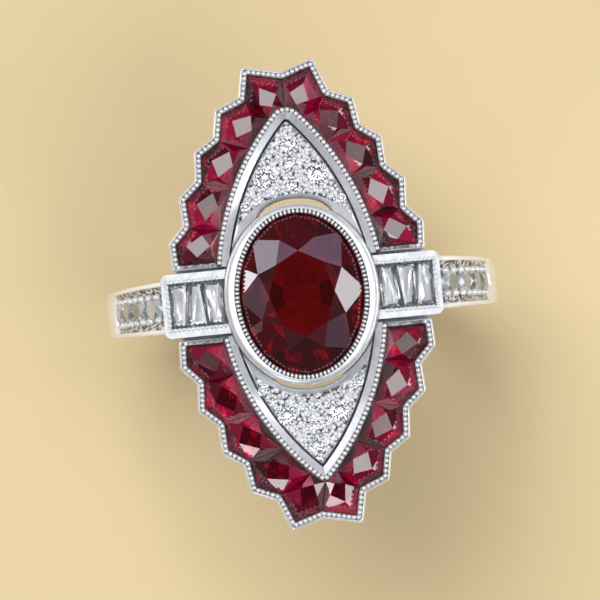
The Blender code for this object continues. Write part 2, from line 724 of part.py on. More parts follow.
def calibre_points(outline):
    """French-cut stone on a plan outline: its table is a square turned half a step."""
    centre = calibre_centre(outline)
    low, side_a, peak, side_b, high = outline
    sides = [(low + side_a) / 2, (side_a + peak) / 2, (peak + side_b) / 2, (side_b + high) / 2,
             (high + low) / 2]
    points = [(*p, z) for p in outline for z in (CALIBRE_GIRDLE_Z - CALIBRE_GIRDLE, CALIBRE_GIRDLE_Z)]
    outward = (sides[1] + sides[2]) / 2
    for p in (sides[0], outward, sides[3], sides[4]):
        points.append((*(centre + (p - centre) * CALIBRE_TABLE_SHARE), CALIBRE_TABLE_Z))
    for p in sides:
        culet = centre + (p - centre) * CALIBRE_CULET_SHARE
        points.append((*culet, CALIBRE_KEEL_Z + CALIBRE_CULET_RISE))
    points.append((*centre, CALIBRE_KEEL_Z))
    return points


def make_calibre_rubies():
    for end, end_sign in ENDS:
        for side, side_sign in SIDES:
            for row, outline in enumerate(calibre_outlines(end, side)):
                points = calibre_points(shrink(outline, GAP / 2))
                name = "calibre_ruby_%s_%s_%d" % (end, side, 5 - row)
                mesh = hull_mesh(name, mirrored(points, side_sign, end_sign))
                add_part(name, mesh, RUBY)


clear_scene()
PARTS = new_collection("cocktail_ring")
CUTTERS = new_collection("cutters")
make_shank()
make_gallery()
make_rims()
bezel_cutter = bezel_clearance()
make_navette_frames(bezel_cutter)
make_pave_plates()
make_bezel()
make_boxes(bezel_cutter)
make_centre_ruby()
make_calibre_rubies()
make_baguettes()
make_round_diamonds()
bpy.context.view_layer.update()
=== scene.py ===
"""Looks of the navette cluster cocktail ring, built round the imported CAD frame.

Shapes are worked out in millimetres in the frame's axes and scaled to metres when a mesh is made.
+Z is up through the head, +Y ("back") runs along the finger, +X is the right shoulder.
"""
import math
import random

import bmesh
import bpy
from mathutils import Matrix, Vector


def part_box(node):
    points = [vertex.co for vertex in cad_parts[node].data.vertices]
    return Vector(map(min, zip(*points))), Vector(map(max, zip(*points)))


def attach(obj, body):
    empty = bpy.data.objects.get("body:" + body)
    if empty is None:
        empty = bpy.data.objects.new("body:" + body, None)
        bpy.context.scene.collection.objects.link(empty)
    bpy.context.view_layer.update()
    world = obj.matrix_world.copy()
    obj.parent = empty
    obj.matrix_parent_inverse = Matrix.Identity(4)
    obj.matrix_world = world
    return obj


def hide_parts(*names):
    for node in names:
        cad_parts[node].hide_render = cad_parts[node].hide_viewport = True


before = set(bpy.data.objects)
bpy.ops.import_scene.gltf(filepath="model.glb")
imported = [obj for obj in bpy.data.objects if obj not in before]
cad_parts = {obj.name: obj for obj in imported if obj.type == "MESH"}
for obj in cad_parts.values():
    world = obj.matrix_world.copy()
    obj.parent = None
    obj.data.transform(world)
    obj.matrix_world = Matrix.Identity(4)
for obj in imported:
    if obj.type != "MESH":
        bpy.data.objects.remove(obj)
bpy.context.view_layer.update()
MM = 0.001
SIDES = (("right", 1), ("left", -1))
ENDS = (("back", 1), ("front", -1))


def top_of(node):
    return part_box(node)[1].z / MM


def bottom_of(node):
    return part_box(node)[0].z / MM


# -------- sizes, in millimetres

HEAD_FLOOR_Z = bottom_of("outer_rim_back")
RIM_TOP_Z = top_of("outer_rim_back")
NAVETTE_TOP_Z = top_of("navette_frame_back")
PLATE_TOP_Z = top_of("pave_plate_back")
PLATE_BOTTOM_Z = bottom_of("pave_plate_back")
RUBY_TABLE_Z = top_of("centre_ruby")
CALIBRE_TABLE_Z = top_of("calibre_ruby_back_right_1")
CALIBRE_KEEL_Z = bottom_of("calibre_ruby_back_right_1")
FLOOR_Z = bottom_of("shank")

FINGER_RADIUS = 8.45
SHANK_RADIUS = -FLOOR_Z
SHANK_TIP_X = 3.0
SHANK_SEGMENTS = (61, 46)
BOX_END_X = 7.0
GAP = 0.03

# Navette frames: radius of the legs' arcs, how far beyond the Y axis their centres lie, radius of
# the rounded tip, and how far the tip leans to the right
NAVETTES = {"back": (13.36, 9.145, 0.823, 0.0), "front": (12.78, 8.56, 0.35, 0.277)}
NAVETTE_FOOT_Y = 1.75
NAVETTE_WALL = 0.62
LEAST_TIP_RADIUS = 0.05
LEAN_REACH = 9.29
LEAN_POWER = 2.2
NAVETTE_BEAD_INSET = 0.115
NAVETTE_BEAD_FEET = (1.95, 1.95)

RUBY_HALF = (3.15, 4.12)
RUBY_GIRDLE_Z = 12.38
BEZEL_HALF = (3.88, 4.55)
PLATE_CLEARANCE = 0.05
BEZEL_STEPS = 160
BEZEL_CUT_STEPS = 128
BEZEL_CUT_HEIGHTS = (8.0, 14.0)
BEZEL_BEAD_HALF = (BEZEL_HALF[0] - 0.65, BEZEL_HALF[1] - 0.4)
BEZEL_BEAD_PITCH = 0.21
BEZEL_BEAD_RADIUS = 0.078
BEZEL_BEAD_Z = 12.59
CRESCENT_DEPTHS = {"back": 0.32, "front": 0.1}
CRESCENT_HALF_ANGLE = math.radians(30)
FIELD_ARC_HALF = {"back": (4.1, 4.92), "front": (4.1, 4.82)}
ARC_STEPS = 61
# Range in which a plate's corners are looked for, and how far short of the leg they stop
CORNER_ANGLES = (math.radians(15), math.radians(80))
CORNER_CLEARANCE = math.radians(1.5)
CORNER_BISECTIONS = 30

RIM_WIDTH = 0.36
END_RAIL_WIDTH = 0.25
RIM_FOOT = (4.13, 1.75)
RIM_BOX_CORNER = (6.36, 1.75)
RIM_PEAKS = [(6.44, 3.15), (5.74, 5.38), (4.74, 7.6), (3.5, 9.64)]
TIP_PEAKS = {("back", "right"): (1.63, 11.8), ("back", "left"): (2.0, 11.68),
             ("front", "right"): (1.98, 11.68), ("front", "left"): (1.6, 11.75)}
RIM_NOTCHES = [(5.65, 4.0), (4.83, 6.19), (3.73, 8.27), (2.28, 10.15)]
RIM_TIP_NOTCH = (0.0, 11.25)
RIM_END_RADIUS = 0.12
RIM_PEAK_RADIUS = 0.18
RIM_NOTCH_RADIUS = 0.1
LEAST_PEAK_RADIUS = 0.04
RIM_BEAD_INSET = 0.24
CALIBRE_FOOT_Y = [2.03, 3.62, 5.7, 7.55, 8.95]
CALIBRE_CLEARANCE = 0.075
CALIBRE_GIRDLE_Z = 10.55
CALIBRE_GIRDLE = 0.06
CALIBRE_TABLE_SHARE = 0.64
CALIBRE_TABLE_DROP = 0.08
CALIBRE_KEEL_SHARE = 0.5
CALIBRE_KEEL_RISE = 0.35

BOX_HALF_WIDTH = 1.6
BOX_CORNER_RADIUS = 0.35
BOX_START_X = 3.0
BOX_INNER_TOP_Z = 11.75
BOX_OUTER_TOP_Z = 11.1
POCKET_START_X = 3.93
POCKET_END_X = 6.66
POCKET_HALF_WIDTH = 1.14
POCKET_DEPTH = 1.35
BOX_SLOPE = math.atan2(BOX_INNER_TOP_Z - BOX_OUTER_TOP_Z, BOX_END_X - POCKET_START_X)
POCKET_LENGTH = (POCKET_END_X - POCKET_START_X) / math.cos(BOX_SLOPE)
BOX_EDGE_BEVEL = 0.07
BOX_BEAD_REACH = 0.06
BOX_BEAD_PITCH = 0.24
BOX_BEAD_RADIUS = 0.105

SHOULDER_TOP_Z = 10.0
SHOULDER_HANDLES = ((8.6, 8.6), (SHANK_RADIUS, 4.5))
RECESS_DEPTH = 0.25
SHOULDER_STONE_RADIUS = 0.72
SHOULDER_STONE_PITCH = 1.5
SHOULDER_STONE_START = 0.87
SHOULDER_STONE_COUNT = 4
SHOULDER_ROW_PITCHES = 3.6
RECESS_FADE = 0.015
INNER_BEND = 1.15
BAND_DOME = 0.06
SHOULDER_GRAINS = ((0.36, 0.58), (0.36, -0.58), (-0.36, 0.58), (-0.36, -0.58))
SHOULDER_GRAIN_RADIUS = 0.19
SEAT_DEPTH = 0.6
SEAT_LEDGE = 0.03
ROW_END_Z = 4.5
PLATE_STONES = [(0.0, 7.55, 0.42), (1.32, 5.95, 0.5), (-1.32, 5.95, 0.5), (0.0, 6.62, 0.28),
                (0.0, 5.5, 0.27), (2.4, 4.62, 0.27), (-2.4, 4.62, 0.27)]

# Grains of a plate: radius, and how many places are tried for it
GRAIN_TRIES = ((0.15, 300), (0.12, 1500), (0.09, 5000), (0.065, 6000))
PRONG_RADIUS = 0.12

BEAD_PITCH = 0.25
BEAD_RADIUS = 0.117


# -------- plane geometry


def ellipse(half_x, half_y, steps, z=None):
    points = []
    for i in range(steps):
        angle = 2 * math.pi * i / steps
        point = (half_x * math.cos(angle), half_y * math.sin(angle))
        points.append(point if z is None else (*point, z))
    return points


def spread(start, end, count):
    return [start + (end - start) * i / (count - 1) for i in range(count)]


def line_crossing(a, b, c, d):
    ab, cd = b - a, d - c
    return a + ab * ((c - a).cross(cd) / ab.cross(cd))


def offset_corners(corners, distances):
    """Open path moved to its left by one distance for each edge, with mitred corners."""
    lines = []
    for (ax, ay), (bx, by), distance in zip(corners, corners[1:], distances):
        along = Vector((bx - ax, by - ay)).normalized()
        side = Vector((-along.y, along.x)) * distance
        lines.append((Vector((ax, ay)) + side, Vector((bx, by)) + side))
    moved = [lines[0][0]]
    for (a, b), (c, d) in zip(lines, lines[1:]):
        moved.append(line_crossing(a, b, c, d))
    moved.append(lines[-1][1])
    return moved


def rounded_path(corners, radii, steps):
    """Open path whose inner corners become arcs of the given radii."""
    points = [Vector(corners[0])]
    for before, corner, after, radius in zip(corners, corners[1:], corners[2:], radii):
        incoming = (Vector(before) - Vector(corner)).normalized()
        outgoing = (Vector(after) - Vector(corner)).normalized()
        half = incoming.angle(outgoing) / 2
        bisector = (incoming + outgoing).normalized()
        centre = Vector(corner) + bisector * (radius / math.sin(half))
        start = Vector(corner) + incoming * (radius / math.tan(half)) - centre
        end = Vector(corner) + outgoing * (radius / math.tan(half)) - centre
        turn = start.angle_signed(end)
        for i in range(steps + 1):
            points.append(centre + Matrix.Rotation(-turn * i / steps, 2) @ start)
    points.append(Vector(corners[-1]))
    return points


def evenly(points, pitch, closed=False):
    """Points about one pitch apart along a path."""
    points = [Vector(p) for p in points]
    if closed:
        points.append(points[0])
    lengths = [0.0]
    for a, b in zip(points, points[1:]):
        lengths.append(lengths[-1] + (b - a).length)
    count = max(2, round(lengths[-1] / pitch))
    spots, k = [], 0
    for i in range(count if closed else count + 1):
        target = lengths[-1] * i / count
        while k < len(points) - 2 and lengths[k + 1] < target:
            k += 1
        share = (target - lengths[k]) / max(lengths[k + 1] - lengths[k], 1e-9)
        spots.append(points[k].lerp(points[k + 1], share))
    return spots


def rim_corners(inset, end):
    """Corners of a rim, right foot to left foot, moved inwards by the inset.

    Outlines of either end are drawn as if they lay at the back, with Y pointing to the tip.
    """
    halves = []
    for side, _ in SIDES:
        half = [RIM_FOOT, RIM_BOX_CORNER]
        for peak, notch in zip(RIM_PEAKS + [TIP_PEAKS[end, side]], RIM_NOTCHES + [RIM_TIP_NOTCH]):
            half += [peak, notch]
        halves.append(half)
    right, left = halves
    corners = right + [(-x, y) for x, y in reversed(left[:-1])]
    rail = inset * END_RAIL_WIDTH / RIM_WIDTH
    distances = [rail] + [inset] * (len(corners) - 3) + [rail]
    return offset_corners(corners, distances)


def rim_path(inset, end, steps=7):
    """Line of a rim with its corners rounded, sharper at the peaks as it goes inwards."""
    corners = rim_corners(inset, end)
    peak_radius = max(RIM_PEAK_RADIUS - inset * 0.4, LEAST_PEAK_RADIUS)
    notch_radius = RIM_NOTCH_RADIUS + inset * 0.5
    radii = [RIM_END_RADIUS] + [peak_radius, notch_radius] * (len(RIM_PEAKS) + 1)
    radii = radii + radii[-2::-1]
    return rounded_path(corners, radii, steps)


def lean_at(end, y):
    """Sideways lean of a navette frame at this distance from the ring's middle."""
    return NAVETTES[end][3] * (y / LEAN_REACH) ** LEAN_POWER


def leg_x(end, side_sign, inset, y):
    """X of a navette leg, moved inwards by the inset, at this distance from the middle."""
    radius, offset, _, _ = NAVETTES[end]
    reach = math.sqrt((radius - inset) ** 2 - y ** 2) - offset
    return side_sign * reach + lean_at(end, y)


def navette_tip(end, inset):
    """Rounding radius of a navette tip, its centre's Y, and the angle where the legs end."""
    radius, offset, tip_radius, _ = NAVETTES[end]
    tip = max(tip_radius - inset, LEAST_TIP_RADIUS)
    angle = math.acos(offset / (radius - inset - tip))
    return tip, (radius - inset - tip) * math.sin(angle), angle


def navette_path(inset, end, foot_ys=(NAVETTE_FOOT_Y, NAVETTE_FOOT_Y), leg_steps=40, tip_steps=12):
    """Navette line, right foot over the tip to left foot, moved inwards by the inset."""
    leg_radius = NAVETTES[end][0] - inset
    tip, tip_y, tip_angle = navette_tip(end, inset)
    legs = []
    for side_sign, foot_y in zip((1, -1), foot_ys):
        leg = []
        for angle in spread(math.asin(foot_y / leg_radius), tip_angle, leg_steps):
            y = leg_radius * math.sin(angle)
            leg.append((leg_x(end, side_sign, inset, y), y))
        legs.append(leg)
    round_tip = []
    for angle in spread(tip_angle, math.pi - tip_angle, tip_steps + 1)[1:-1]:
        y = tip_y + tip * math.sin(angle)
        round_tip.append((tip * math.cos(angle) + lean_at(end, y), y))
    return legs[0] + round_tip + legs[1][::-1]


def plate_arc_point(end, angle, inset=0.0):
    """Point of a plate's edge towards the bezel: a crescent gap in the middle, then close by."""
    turn = min(1.0, abs(angle - math.pi / 2) / CRESCENT_HALF_ANGLE)
    gap = PLATE_CLEARANCE + CRESCENT_DEPTHS[end] * (1 - turn ** 4) + inset
    half_x, half_y = BEZEL_HALF
    return Vector(((half_x + gap) * math.cos(angle), (half_y + gap) * math.sin(angle)))


def field_arc_point(end, angle, inset=0.0):
    """Point of the line where a plate's smooth border towards the bezel ends."""
    half_x, half_y = FIELD_ARC_HALF[end]
    return Vector(((half_x + inset) * math.cos(angle), (half_y + inset) * math.sin(angle)))


def corner_angle(end, side_sign, inset, arc):
    """Angle at which an arc stops, just short of the navette leg."""
    low, high = CORNER_ANGLES
    for _ in range(CORNER_BISECTIONS):
        middle = (low + high) / 2
        point = arc(middle)
        if leg_x(end, side_sign, inset, point.y) * side_sign > point.x:
            high = middle
        else:
            low = middle
    return high + CORNER_CLEARANCE


def plate_path(end, inset, arc_line, arc_inset):
    """Closed outline inside the navette legs and above an arc, each moved by its inset."""

    def arc(angle):
        return arc_line(end, angle, arc_inset)

    edge = NAVETTE_WALL + GAP + inset
    right, left = (corner_angle(end, side_sign, edge, arc) for side_sign in (1, -1))
    foot_ys = [arc(angle).y + 0.1 for angle in (right, left)]
    legs = navette_path(edge, end, foot_ys)
    return legs + [(p.x, p.y) for p in map(arc, spread(math.pi - left, right, ARC_STEPS))]


def inside(point, loop):
    """True if a point lies in a closed outline."""
    x, y = point
    hit = False
    for (ax, ay), (bx, by) in zip(loop, loop[1:] + loop[:1]):
        if (ay > y) != (by > y) and x < (bx - ax) * (y - ay) / (by - ay) + ax:
            hit = not hit
    return hit


# -------- mesh helpers


def add_to_scene(obj):
    bpy.context.scene.collection.objects.link(obj)


def mesh_of(bm, name):
    """Turns an edited mesh into mesh data, and frees it."""
    mesh = bpy.data.meshes.new(name)
    bm.to_mesh(mesh)
    bm.free()
    return mesh


def metres(bm):
    bmesh.ops.scale(bm, vec=(MM, MM, MM), verts=bm.verts)


def modified_mesh(obj):
    """Mesh of an object with its modifiers, or of a filled curve."""
    bpy.context.view_layer.update()
    shown = obj.evaluated_get(bpy.context.evaluated_depsgraph_get())
    return bpy.data.meshes.new_from_object(shown)


def finish_piece(name, bm, materials, nodes=(), smooth=35.0):
    """Makes the object from a mesh in millimetres, and hangs it on the frame.

    Edges sharper than smooth, in degrees, stay sharp; at 0 the faces stay flat.
    """
    bmesh.ops.recalc_face_normals(bm, faces=bm.faces)
    metres(bm)
    mesh = mesh_of(bm, name)
    if smooth:
        mesh.shade_smooth()
        mesh.set_sharp_from_angle(angle=math.radians(smooth))
    for material in materials:
        mesh.materials.append(material)
    obj = bpy.data.objects.new(name, mesh)
    add_to_scene(obj)
    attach(obj, "root")
    if nodes:
        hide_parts(*nodes)
    return obj


def hull(points):
    """Closed convex mesh round the points, with whole facets instead of triangles."""
    bm = bmesh.new()
    verts = [bm.verts.new(point) for point in points]
    result = bmesh.ops.convex_hull(bm, input=verts)
    spare = set(result["geom_interior"]) | set(result["geom_unused"])
    bmesh.ops.delete(bm, geom=[v for v in spare if isinstance(v, bmesh.types.BMVert)])
    bmesh.ops.dissolve_limit(bm, angle_limit=math.radians(0.3), verts=bm.verts, edges=bm.edges)
    return bm


def add_loft(bm, rings, closed_path=False, painted_shade_rows=()):
    """Solid swept along a path: each ring runs the length of the path at one section corner.

    The faces that start at one of the painted shade rows take the second material, a painted shade.
    """
    rows = [[bm.verts.new(point) for point in ring] for ring in rings]
    length = len(rows[0])
    for number, (row, following) in enumerate(zip(rows, rows[1:] + rows[:1])):
        for i in range(length if closed_path else length - 1):
            j = (i + 1) % length
            face = bm.faces.new((row[i], row[j], following[j], following[i]))
            face.material_index = int(number in painted_shade_rows)
    if not closed_path:
        bm.faces.new([row[0] for row in rows])
        bm.faces.new([row[-1] for row in reversed(rows)])


def add_bead(bm, centre, radius, height=1.0, axis=None):
    """Small ball, made taller by the height and turned or stretched by the axis matrix."""
    shape = Matrix.Translation(centre)
    if axis is not None:
        shape = shape @ axis
    shape = shape @ Matrix.Diagonal((1.0, 1.0, height, 1.0))
    bmesh.ops.create_icosphere(bm, subdivisions=2, radius=radius, matrix=shape)


def outline_prism(loops, bottom, top):
    """Flat plate between two heights, from its edge and its openings."""
    curve = bpy.data.curves.new("outline", "CURVE")
    curve.dimensions = "2D"
    curve.fill_mode = "BOTH"
    curve.extrude = (top - bottom) / 2
    for loop in loops:
        spline = curve.splines.new("POLY")
        spline.points.add(len(loop) - 1)
        for point, (x, y) in zip(spline.points, loop):
            point.co = (x, y, 0.0, 1.0)
        spline.use_cyclic_u = True
    guide = bpy.data.objects.new("outline", curve)
    add_to_scene(guide)
    mesh = modified_mesh(guide)
    bpy.data.objects.remove(guide, do_unlink=True)
    bpy.data.curves.remove(curve)
    bm = bmesh.new()
    bm.from_mesh(mesh)
    bpy.data.meshes.remove(mesh)
    bmesh.ops.remove_doubles(bm, verts=bm.verts, dist=0.0005)
    bmesh.ops.translate(bm, verts=bm.verts, vec=(0, 0, (top + bottom) / 2))
    bmesh.ops.recalc_face_normals(bm, faces=bm.faces)
    return bm


# -------- materials


def new_material(name):
    material = bpy.data.materials.new(name)
    material.use_nodes = True
    return material, material.node_tree, material.node_tree.nodes["Principled BSDF"]


def noise(tree, scale, detail=3.0, stretch=(1.0, 1.0, 1.0)):
    coords = tree.nodes.new("ShaderNodeTexCoord")
    mapping = tree.nodes.new("ShaderNodeMapping")
    mapping.inputs["Scale"].default_value = stretch
    texture = tree.nodes.new("ShaderNodeTexNoise")
    texture.inputs["Scale"].default_value = scale
    texture.inputs["Detail"].default_value = detail
    tree.links.new(coords.outputs["Object"], mapping.inputs["Vector"])
    tree.links.new(mapping.outputs["Vector"], texture.inputs["Vector"])
    return texture.outputs["Fac"]


def ramp(tree, factor, stops):
    node = tree.nodes.new("ShaderNodeValToRGB")
    elements = node.color_ramp.elements
    while len(elements) < len(stops):
        elements.new(0.5)
    for element, (position, colour) in zip(elements, stops):
        element.position = position
        element.color = (*colour, 1.0)
    tree.links.new(factor, node.inputs["Fac"])
    return node.outputs["Color"]


def span(tree, factor, low, high):
    node = tree.nodes.new("ShaderNodeMapRange")
    node.inputs["To Min"].default_value = low
    node.inputs["To Max"].default_value = high
    tree.links.new(factor, node.inputs["Value"])
    return node.outputs["Result"]


def bump(tree, shader, height, strength, distance):
    node = tree.nodes.new("ShaderNodeBump")
    node.inputs["Strength"].default_value = strength
    node.inputs["Distance"].default_value = distance
    tree.links.new(height, node.inputs["Height"])
    tree.links.new(node.outputs["Normal"], shader.inputs["Normal"])


def white_metal(name, colours, mirror, roughness, bump_scale, bump_depth):
    """White precious metal: tint and polish that drift, fine tool marks, and a satin share."""
    material, tree, shader = new_material(name)
    shader.inputs["Metallic"].default_value = mirror
    tint = ramp(tree, noise(tree, bump_scale), [(0.4, colours[0]), (0.6, colours[1])])
    tree.links.new(tint, shader.inputs["Base Color"])
    polish = span(tree, noise(tree, 2500.0, 4.0, (1.0, 0.25, 1.0)), *roughness)
    tree.links.new(polish, shader.inputs["Roughness"])
    bump(tree, shader, noise(tree, bump_scale, 4.0), 1.0, bump_depth)
    return material


def gem(name, ior, clarity, coat, absorb=None, density=0.0):
    """Cut stone: each facet has a painted tone of light and shade, clouded a little, and long paths
    inside go darker.
    """
    material, tree, shader = new_material(name)
    clouds = ramp(tree, noise(tree, 1500.0, 2.0), [(0.3, (0.8, 0.8, 0.8)), (0.7, (1.0, 1.0, 1.0))])
    # Painted light and shade: the base colour of each facet, read from the mesh
    painted_facet_lights = tree.nodes.new("ShaderNodeAttribute")
    painted_facet_lights.attribute_name = "painted_facet_light"
    mix = tree.nodes.new("ShaderNodeMix")
    mix.data_type = "RGBA"
    mix.blend_type = "MULTIPLY"
    mix.inputs["Factor"].default_value = 1.0
    tree.links.new(painted_facet_lights.outputs["Color"], mix.inputs["A"])
    tree.links.new(clouds, mix.inputs["B"])
    tree.links.new(mix.outputs["Result"], shader.inputs["Base Color"])
    shader.inputs["Roughness"].default_value = 0.0
    shader.inputs["IOR"].default_value = ior
    shader.inputs["Transmission Weight"].default_value = clarity
    shader.inputs["Coat Weight"].default_value = coat
    shader.inputs["Coat Roughness"].default_value = 0.0
    shader.inputs["Coat IOR"].default_value = 1.9
    if absorb:
        volume = tree.nodes.new("ShaderNodeVolumeAbsorption")
        volume.inputs["Color"].default_value = (*absorb, 1.0)
        volume.inputs["Density"].default_value = density
        tree.links.new(volume.outputs["Volume"], tree.nodes["Material Output"].inputs["Volume"])
    return material


BRIGHT_TINTS = ((0.84, 0.86, 0.89), (0.93, 0.94, 0.96))
BAND_TINTS = ((0.88, 0.89, 0.91), (0.92, 0.93, 0.95))
BOX_TINTS = ((0.62, 0.64, 0.67), (0.76, 0.78, 0.80))
# Painted shade: dark grey metal for the rims' groove under the beads and their inner walls,
# standing in for the shade there
GROOVE_PAINTED_SHADE_TINTS = ((0.10, 0.10, 0.105), (0.42, 0.42, 0.43))
# Painted shade: near-black metal for the navette ledges under the beads, the navettes' inner walls
# and the bezel's bead groove, standing in for the shade in these hollows
RECESS_PAINTED_SHADE_TINTS = ((0.02, 0.02, 0.021), (0.10, 0.10, 0.105))
GROUND_TINTS = ((0.03, 0.03, 0.032), (0.85, 0.85, 0.86))
POLISHED = white_metal("polished_metal", BRIGHT_TINTS, 0.7, (0.18, 0.32), 3000.0, 0.000002)
BEADED = white_metal("milgrain_metal", BRIGHT_TINTS, 0.6, (0.12, 0.22), 6000.0, 0.000003)
GROOVE_PAINTED_SHADE = white_metal("groove_painted_shade_metal", GROOVE_PAINTED_SHADE_TINTS, 0.6, (0.3, 0.5), 7000.0, 0.00001)
RECESS_PAINTED_SHADE = white_metal("recess_painted_shade_metal", RECESS_PAINTED_SHADE_TINTS, 0.6, (0.3, 0.5), 7000.0, 0.00001)
SET_PLATE = white_metal("pave_metal", GROUND_TINTS, 0.4, (0.25, 0.4), 5500.0, 0.00003)
BAND = white_metal("shank_metal", BAND_TINTS, 0.3, (0.16, 0.24), 1500.0, 0.000002)
BOXED = white_metal("box_metal", BOX_TINTS, 0.7, (0.2, 0.34), 3000.0, 0.000003)
RUBY = gem("ruby_stone", 1.77, 0.93, 1.0, (0.8, 0.005, 0.05), 1700.0)
CALIBRE = gem("calibre_ruby_stone", 1.77, 0.66, 0.7, (0.8, 0.005, 0.09), 950.0)
DIAMOND = gem("diamond_stone", 2.42, 0.95, 0.0)
BAGUETTE = gem("baguette_diamond_stone", 2.42, 0.95, 0.9)
SHOULDER_DIAMOND = gem("shoulder_diamond_stone", 2.42, 0.58, 0.0)


# -------- shank


def shoulder_point(share):
    """Point (x, z) on the right shoulder's outer curve, from the box (0) to the equator (1)."""
    corners = [(BOX_END_X + GAP, SHOULDER_TOP_Z), *SHOULDER_HANDLES, (SHANK_RADIUS, 0.0)]
    weights = [(1 - share) ** 3, 3 * share * (1 - share) ** 2, 3 * share ** 2 * (1 - share),
               share ** 3]
    return Vector([sum(w * c[axis] for w, c in zip(weights, corners)) for axis in (0, 1)])


def shoulder_share(distance):
    """Share of the shoulder's line that lies this far along it."""
    travelled, share, step = 0.0, 0.0, 0.002
    while travelled < distance:
        travelled += (shoulder_point(share + step) - shoulder_point(share)).length
        share += step
    return share


def shoulder_normal(share):
    """Direction (x, z) out of the right shoulder."""
    along = shoulder_point(share + 0.01) - shoulder_point(share - 0.01)
    return Vector((-along.y, along.x)).normalized()


def shoulder_frames(sign):
    """Frames of the shoulder stones: origin on the recess floor, +Z out of the shoulder."""
    frames = []
    for i in range(SHOULDER_STONE_COUNT):
        share = shoulder_share(SHOULDER_STONE_START + SHOULDER_STONE_PITCH * i)
        normal = shoulder_normal(share)
        spot = shoulder_point(share) - normal * RECESS_DEPTH
        out = Vector((normal.x * sign, 0.0, normal.y))
        across = Vector((0.0, 1.0, 0.0))
        turn = Matrix((across.cross(out), across, out)).transposed().to_4x4()
        frames.append(Matrix.Translation((spot.x * sign, 0.0, spot.y)) @ turn)
    return frames


def half_width(z):
    """Half the shank's width: parallel below, widening towards the head."""
    levels = [(-11.0, 1.0), (-4.0, 1.0), (1.0, 1.13), (10.5, 1.34)]
    for (z0, w0), (z1, w1) in zip(levels, levels[1:]):
        if z <= z1:
            return w0 + (w1 - w0) * (z - z0) / (z1 - z0)
    return levels[-1][1]


def band_stations():
    """Inner and outer points (x, z) of the band, right shoulder top round to the bottom."""
    row_end = shoulder_share(SHOULDER_STONE_START + SHOULDER_STONE_PITCH * SHOULDER_ROW_PITCHES)
    tip_angle = math.acos(SHANK_TIP_X / FINGER_RADIUS)
    shoulder_steps, lower_steps = SHANK_SEGMENTS
    stations = []
    for share in spread(0.0, 1.0, shoulder_steps):
        outer = shoulder_point(share)
        angle = tip_angle * (1 - share) ** INNER_BEND
        inner = Vector((FINGER_RADIUS * math.cos(angle), FINGER_RADIUS * math.sin(angle)))
        recess = min(1.0, max(0.0, (row_end - share) / RECESS_FADE))
        stations.append((inner, outer, recess))
    for angle in spread(0.0, -math.pi / 2, lower_steps)[1:]:
        ray = Vector((math.cos(angle), math.sin(angle)))
        stations.append((ray * FINGER_RADIUS, ray * SHANK_RADIUS, 0.0))
    return stations


def band_section(inner, outer, recess):
    """Closed section across the band, as (x, y, z), going round from the finger side."""
    along = outer - inner
    height = along.length
    ray = along / height
    width = half_width((outer.y + inner.y) / 2 + 1.0)
    depth = RECESS_DEPTH * recess
    dome = BAND_DOME * (1 - recess)
    half = [(0.0, 0.0), (width - 0.3, 0.0), (width - 0.09, 0.05), (width, 0.2),
            (width, height - 0.16), (width - 0.04, height - 0.04), (width - 0.1, height),
            (width - 0.2, height), (width - 0.24, height - 0.04 * recess),
            (width - 0.5, height + dome * 0.7 - depth), (0.0, height + dome - depth)]
    points = []
    for y, v in half:
        points.append((inner.x + ray.x * v, y, inner.y + ray.y * v))
    for y, v in reversed(half[1:-1]):
        points.append((inner.x + ray.x * v, -y, inner.y + ray.y * v))
    return points


def make_shank():
    """Band with both shoulders, their stones' seats, and the grains that hold them."""
    stations = band_stations()
    sections = [band_section(*station) for station in stations]
    left = [[(-x, y, z) for x, y, z in section] for section in reversed(sections[:-1])]
    sections += left
    bm = bmesh.new()
    add_loft(bm, list(zip(*sections)))
    for face in bm.faces:
        x, y, z = face.calc_center_median()
        sunk = abs(y) < half_width(z) - 0.24 and math.hypot(x, z) > FINGER_RADIUS + 0.5
        face.material_index = int(sunk and z > ROW_END_Z)
    band = finish_piece("shank_band", bm, [BAND, SET_PLATE], ["shank"], smooth=40.0)
    seats = bmesh.new()
    for _, sign in SIDES:
        for placing in shoulder_frames(sign):
            add_drill(seats, placing, SHOULDER_STONE_RADIUS)
    apply_cut(band, seats)
    bm = bmesh.new()
    for _, sign in SIDES:
        for placing in shoulder_frames(sign):
            for along, across in SHOULDER_GRAINS:
                add_bead(bm, placing @ Vector((along, across, 0.1)), SHOULDER_GRAIN_RADIUS)
    finish_piece("shoulder_grains", bm, [BEADED])


# -------- head metal


def make_rims():
    """Scalloped walls with a rounded outer edge and a row of beads along the top."""
    bevel = [(0.1 - 0.1 * math.cos(a), RIM_TOP_Z - 0.16 + 0.16 * math.sin(a))
             for a in spread(0.0, math.pi / 2, 6)]
    groove_z = RIM_TOP_Z - 0.1
    section = [(0.0, HEAD_FLOOR_Z), *bevel, (0.12, RIM_TOP_Z - 0.01), (0.14, groove_z),
               (RIM_WIDTH - 0.02, groove_z), (RIM_WIDTH, groove_z - 0.03),
               (RIM_WIDTH, HEAD_FLOOR_Z)]
    # The groove under the beads and the rim's inner wall take the second material, a painted shade
    groove_shade_rows = range(len(section) - 5, len(section) - 1)
    for end, sign in ENDS:
        rings = [[(p.x, p.y * sign, z) for p in rim_path(inset, end)] for inset, z in section]
        bm = bmesh.new()
        add_loft(bm, rings, painted_shade_rows=groove_shade_rows)
        finish_piece("rim_" + end, bm, [POLISHED, GROOVE_PAINTED_SHADE], ["outer_rim_" + end])
        bm = bmesh.new()
        for spot in evenly(rim_path(RIM_BEAD_INSET, end)[1:-1], BEAD_PITCH):
            add_bead(bm, (spot.x, spot.y * sign, RIM_TOP_Z - 0.05), BEAD_RADIUS, 1.1)
        finish_piece("rim_milgrain_" + end, bm, [BEADED])


